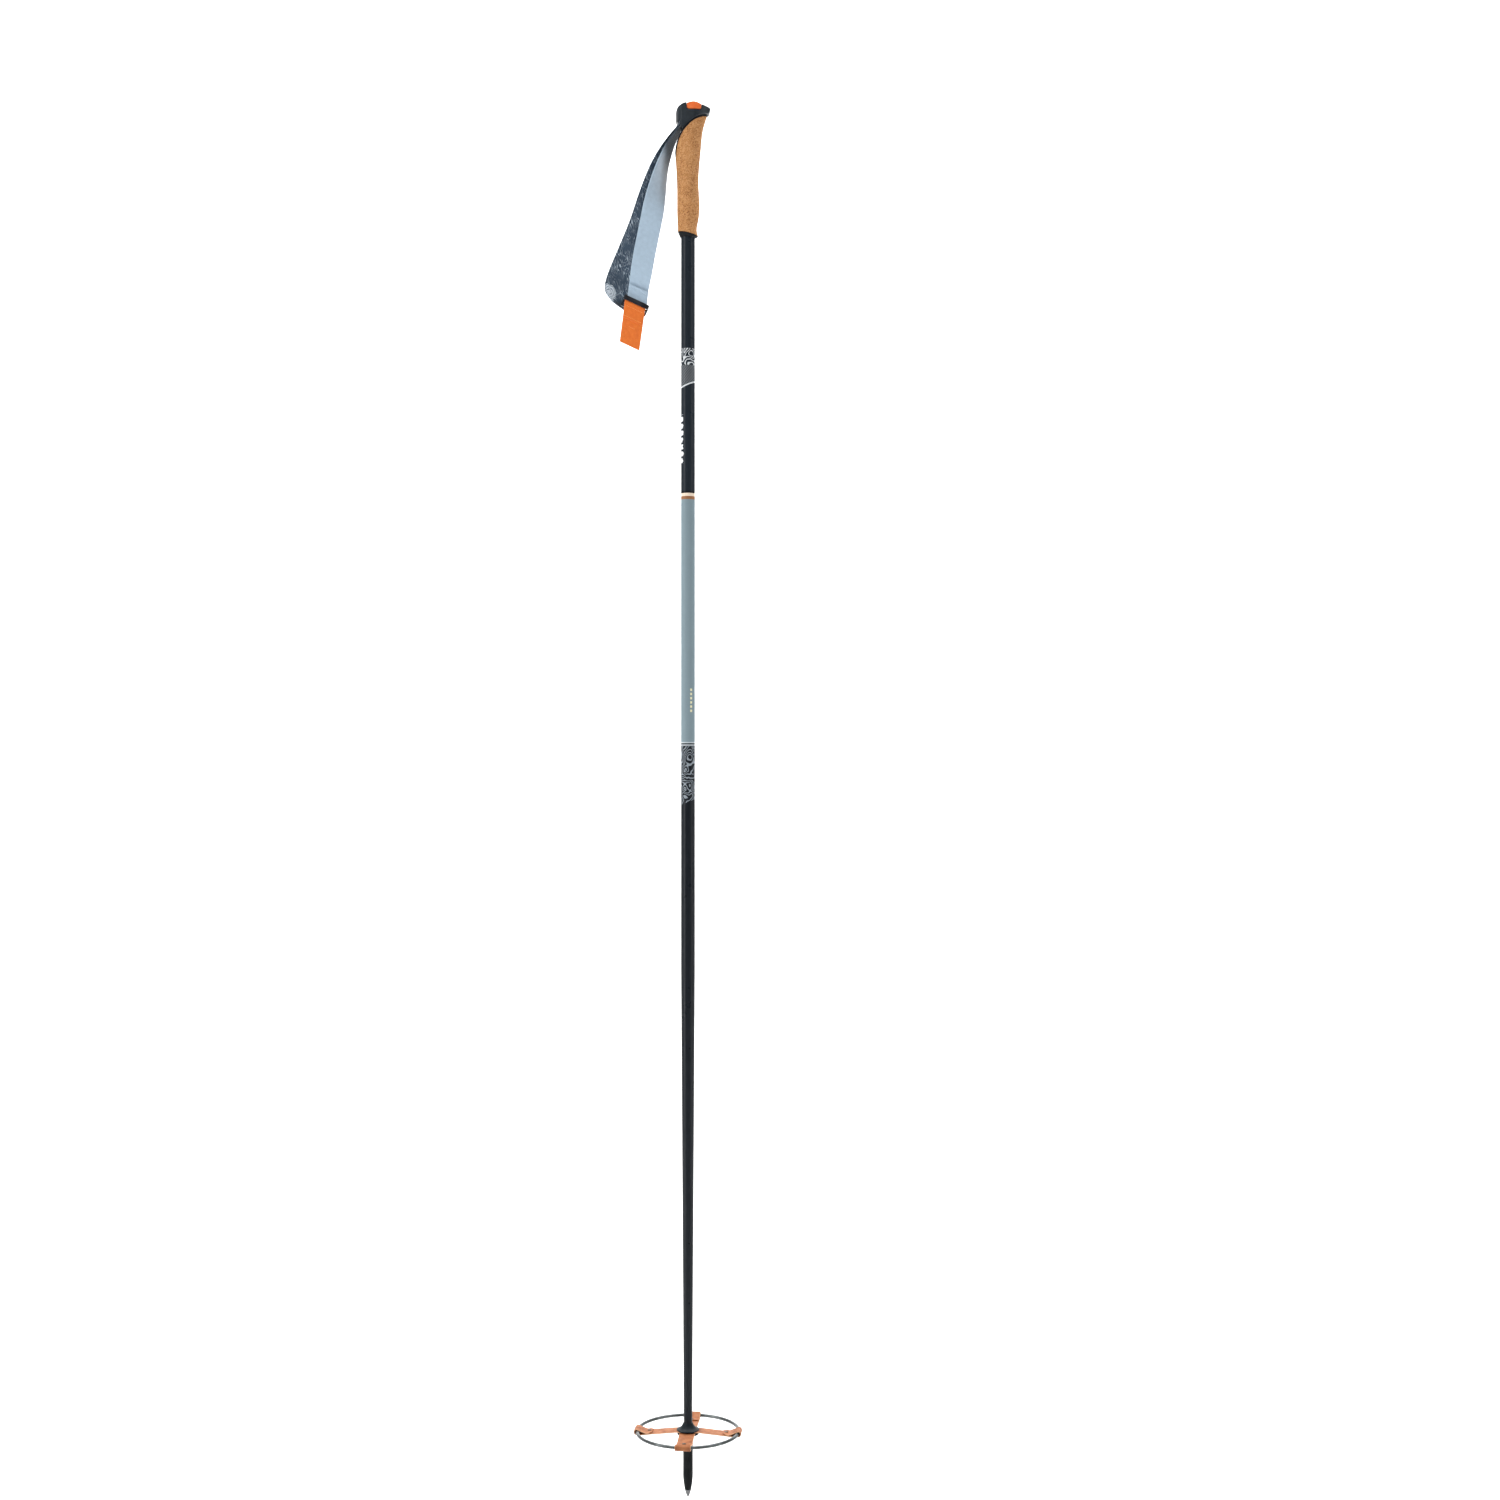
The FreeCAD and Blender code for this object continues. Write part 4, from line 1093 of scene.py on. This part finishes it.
@dataclass
class WristStrap:
    """Webbing, hand pad, buckle and pull tab."""

    palette: Palette
    webbing_width: float = 0.025
    webbing_thickness: float = 0.0014
    bar: Vector = Vector((-0.0575, -0.004, 1.356))
    bar_turn: float = 25.0
    bar_loop: float = 0.0029
    turnback_gap: float = 0.0009
    stitch_lift: float = 0.00075
    exit_place: Vector = Vector((-0.0101, 0.0, 1.554))

    def build(self) -> None:
        """Model and dress the strap's pieces."""
        self.build_webbing()
        self.build_pad()
        self.build_tail()
        self.build_buckle()
        self.build_tab()

    def bar_axis(self) -> Vector:
        """Direction along the buckle's bars."""
        turn = math.radians(self.bar_turn)
        return Vector((math.cos(turn), 0, -math.sin(turn)))

    def bar_up(self) -> Vector:
        """Direction up across the buckle."""
        turn = math.radians(self.bar_turn)
        return Vector((math.sin(turn), 0, math.cos(turn)))

    def flex_root(self, piece: Piece) -> None:
        """Put a strap's place into its mesh."""
        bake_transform(piece)

    def build_webbing(self) -> None:
        """Blue webbing from inside the head down to the buckle's bar and back up as a sewn turn-back."""
        stations = [Station(Vector(place) * MM, lie(turn, slope), self.webbing_width, self.webbing_thickness)
                    for place, turn, slope in WEBBING_ROUTE]
        up = Vector((0.12, 0, 0.99))
        folded = [(self.turnback_gap, 0.020)]
        for angle in range(-30, 211, 30):
            turn = math.radians(angle)
            folded.append((self.bar_loop * math.cos(turn), -self.bar_loop * math.sin(turn)))
        folded += [(-self.turnback_gap, 0.008), (-self.turnback_gap, 0.0155)]
        for depth, height in folded:
            stations.append(Station(self.bar + Vector((0, depth, 0)) + up * height, self.bar_axis(),
                                    self.webbing_width - 1.0 * MM, self.webbing_thickness))
        fine = refine(stations, 6)
        length = sum((after.centre - before.centre).length for before, after in zip(fine, fine[1:]))

        def hem(across: float, along: float) -> float:
            """Folded hem at the very end of the turn-back, with a stitched groove before it."""
            from_end = length - along
            if from_end < 2.6 * MM:
                return 1.75
            return 1.0 - 0.35 * math.exp(-((from_end - 3.4 * MM) / (0.5 * MM)) ** 2)

        webbing = skin("webbing", fine, flat_section(40, 0.22), hem)
        dress(webbing, self.palette.webbing)
        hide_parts("strap_webbing")
        self.flex_root(webbing)
        self.sew_turnback(up)

    def sew_turnback(self, up: Vector) -> None:
        """Two rows of stitches across the webbing's turn-back."""
        half = self.webbing_width / 2 - 1.8 * MM
        for number, height in enumerate((0.0121, 0.0052)):
            middle = self.bar + Vector((0, -self.turnback_gap - self.stitch_lift, 0)) + up * height
            points = [middle + self.bar_axis() * (half * share / 10) for share in range(-10, 11)]
            row = thread_row("turnback_stitches_%d" % number, points, Vector((0, -1, 0)), 2.2 * MM, 0.45 * MM)
            dress(row, self.palette.blue_thread)
            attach(row, "wrist_strap")

    def build_pad(self) -> None:
        """Printed foam pad with a sewn edge, and the soft lining on its inner side."""
        fine = refine([Station(Vector(place) * MM, lie(turn, slope), width * MM, thickness * MM)
                       for place, turn, slope, width, thickness in PAD_ROUTE], 8)

        def edge_seam(across: float, along: float) -> float:
            """Thinner along the sewn line near each long edge."""
            return 1.0 - 0.45 * math.exp(-((abs(across) - 0.88) / 0.035) ** 2)

        pad = skin("hand_pad_cover", fine, flat_section(64, 0.42), edge_seam)
        dress(pad, self.palette.pad)
        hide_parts("hand_pad")
        self.flex_root(pad)
        lining_run = []
        for place in range(24, len(fine) - 4):
            station = fine[place]
            ahead = fine[place + 1].centre - fine[place - 1].centre
            normal = station.across.cross(ahead).normalized()
            centre = station.centre + normal * (station.thickness / 2 + 0.25 * MM)
            lining_run.append(Station(centre, station.across, station.width * 0.9, 0.9 * MM))
        lining = skin("lining", lining_run, flat_section(32, 0.3))
        dress(lining, self.palette.lining)
        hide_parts("pad_lining")
        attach(lining, "wrist_strap")

    def build_tail(self) -> None:
        """Narrow dark webbing from the pad's foot to the buckle."""
        behind = self.bar + Vector((0, 0.0030, 0)) + self.bar_up() * -0.0083
        stations = [
            Station(Vector((-0.0730, 0.0050, 1.3535)), self.bar_axis(), 22 * MM, 1.2 * MM),
            Station(Vector((-0.0702, 0.0034, 1.3490)), self.bar_axis(), 22 * MM, 1.2 * MM),
            Station(Vector((-0.0655, 0.0028, 1.3470)), self.bar_axis(), 23 * MM, 1.2 * MM),
            Station(behind, self.bar_axis(), 24 * MM, 1.2 * MM),
        ]
        tail = skin("tail", refine(stations, 6), flat_section(28, 0.25))
        dress(tail, self.palette.tail)
        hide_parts("pad_tail")
        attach(tail, "wrist_strap")

    def build_buckle(self) -> None:
        """Moulded ladder buckle."""
        buckle = moulded_copy("buckle_frame", "ladder_buckle", 0.22 * MM, 4)
        dress(buckle, self.palette.buckle)
        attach(buckle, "buckle")

    def build_tab(self) -> None:
        """Orange pull tab with a doubled upper band, stitches and a short bar tack."""
        front = -0.0028
        axis = self.bar_axis()
        up = self.bar_up()
        origin = self.bar

        def place(side: float, height: float, depth: float) -> Vector:
            """Point given along the bar, up across the buckle and in front of it."""
            return origin + axis * side + up * height + Vector((0, depth, 0))

        stations = [Station(place(side * MM, height * MM, front + depth * MM), axis, width * MM,
                            thickness * MM) for side, height, depth, width, thickness in TAB_ROUTE]
        tab = skin("orange_tab", refine(stations, 6), flat_section(40, 0.25))
        dress(tab, self.palette.tab)
        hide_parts("pull_tab")
        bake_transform(tab)
        outward = Vector((0, -1, 0))
        for number, height in enumerate((-0.0205, -0.0095)):
            shift = (-height - 0.0058) * 0.313
            points = [place(shift + 0.0108 * share / 10, height, front - 0.00125) for share in range(-10, 11)]
            row = thread_row("tab_stitches_%d" % number, points, outward, 2.0 * MM, 0.45 * MM)
            dress(row, self.palette.thread)
            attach(row, "tab")
        points = [place(0.0078 + 0.0036 * share / 10, -0.0300, front - 0.0007) for share in range(-10, 11)]
        tack = thread_row("tab_tack", points, outward, 0.8 * MM, 0.6 * MM)
        dress(tack, self.palette.thread)
        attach(tack, "tab")


# ---------------------------------------------------------------- studio


@dataclass(frozen=True)
class Studio:
    """Pale floor and backdrop, soft lights and the camera."""

    eye: Vector = Vector((0.0704, -2.365, 0.848))
    lens: float = 50.0
    floor: float = -0.4
    sweep_size: tuple[float, float, float] = (14, 8, 1)
    backdrop_height: float = 7.0
    surround: float = 0.19

    def build(self) -> None:
        """Set up everything around the pole."""
        self.build_stage()
        self.build_lights()
        self.build_camera()

    def build_stage(self) -> None:
        """Floor that curves up into a backdrop."""
        start_clean()
        bpy.ops.mesh.primitive_plane_add(size=1, location=(0, 0, self.floor))
        sweep = bpy.context.object
        sweep.name = "pale_sweep"
        sweep.scale = self.sweep_size
        settle(sweep)
        edit_all(sweep)
        bpy.ops.mesh.select_all(action="DESELECT")
        bpy.ops.mesh.select_mode(type="EDGE")
        bpy.ops.object.mode_set(mode="OBJECT")
        for edge in sweep.data.edges:
            edge.select = all(sweep.data.vertices[index].co.y > 0 for index in edge.vertices)
        bpy.ops.object.mode_set(mode="EDIT")
        bpy.ops.mesh.extrude_region_move(TRANSFORM_OT_translate={"value": (0, 0, self.backdrop_height)})
        bpy.ops.object.mode_set(mode="OBJECT")
        apply_modifier(sweep, "BEVEL", width=2.2, segments=16, limit_method="ANGLE",
                       angle_limit=math.radians(30))
        settle(sweep, 60)
        graph = Graph("pale_paper")
        tone = graph.noise(graph.object_place(), 3, 3)
        colour = graph.ramp(tone, [(0.3, (0.86, 0.86, 0.86)), (0.7, (0.88, 0.88, 0.88))])
        sweep.data.materials.append(graph.finish(colour, 0.9))

    def build_lights(self) -> None:
        """Tall strips at both sides, a high front box, a backdrop light and an even surround."""
        for name, place, target, size, power in (
            ("left_strip", (-2.2, -1.2, 1.1), (0, 0, 0.9), (0.45, 2.8), 42),
            ("right_strip", (2.3, -0.9, 1.1), (0, 0, 0.9), (0.4, 2.8), 20),
            ("high_front_box", (-0.5, -2.7, 4.3), (0, 0, 0.9), (3.0, 1.5), 72),
            ("backdrop_box", (0.0, 0.9, 5.2), (0, 4.0, 1.2), (6.0, 1.0), 640),
        ):
            light = bpy.data.lights.new(name, "AREA")
            light.shape = "RECTANGLE"
            light.size, light.size_y = size
            light.energy = power
            lamp = bpy.data.objects.new(name, light)
            lamp.location = place
            lamp.rotation_euler = (Vector(target) - Vector(place)).to_track_quat("-Z", "Y").to_euler()
            bpy.context.scene.collection.objects.link(lamp)
        world = bpy.data.worlds.new("even_surround")
        world.use_nodes = True
        background = world.node_tree.nodes["Background"]
        background.inputs["Color"].default_value = (0.95, 0.97, 1.0, 1)
        background.inputs["Strength"].default_value = self.surround
        bpy.context.scene.world = world

    def build_camera(self) -> None:
        """Level camera at half the pole's height."""
        camera = bpy.data.cameras.new("camera")
        camera.lens = self.lens
        camera.sensor_width = 36.0
        holder = bpy.data.objects.new("camera", camera)
        holder.location = self.eye
        holder.rotation_euler = (math.radians(90), 0, 0)
        bpy.context.scene.collection.objects.link(holder)
        bpy.context.scene.camera = holder


def main() -> None:
    """Build the pole's looks in order and log each assembly as it is done."""
    logging.basicConfig(level=logging.INFO, format="%(name)s %(message)s")
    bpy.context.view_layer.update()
    bpy.context.scene.view_settings.view_transform = "Standard"
    Studio().build()
    palette = make_palette()
    for assembly in (Shaft(palette), Grip(palette), Basket(palette), WristStrap(palette)):
        assembly.build()
        LOG.info("%s done", type(assembly).__name__)


if __name__ == "__main__":
    main()
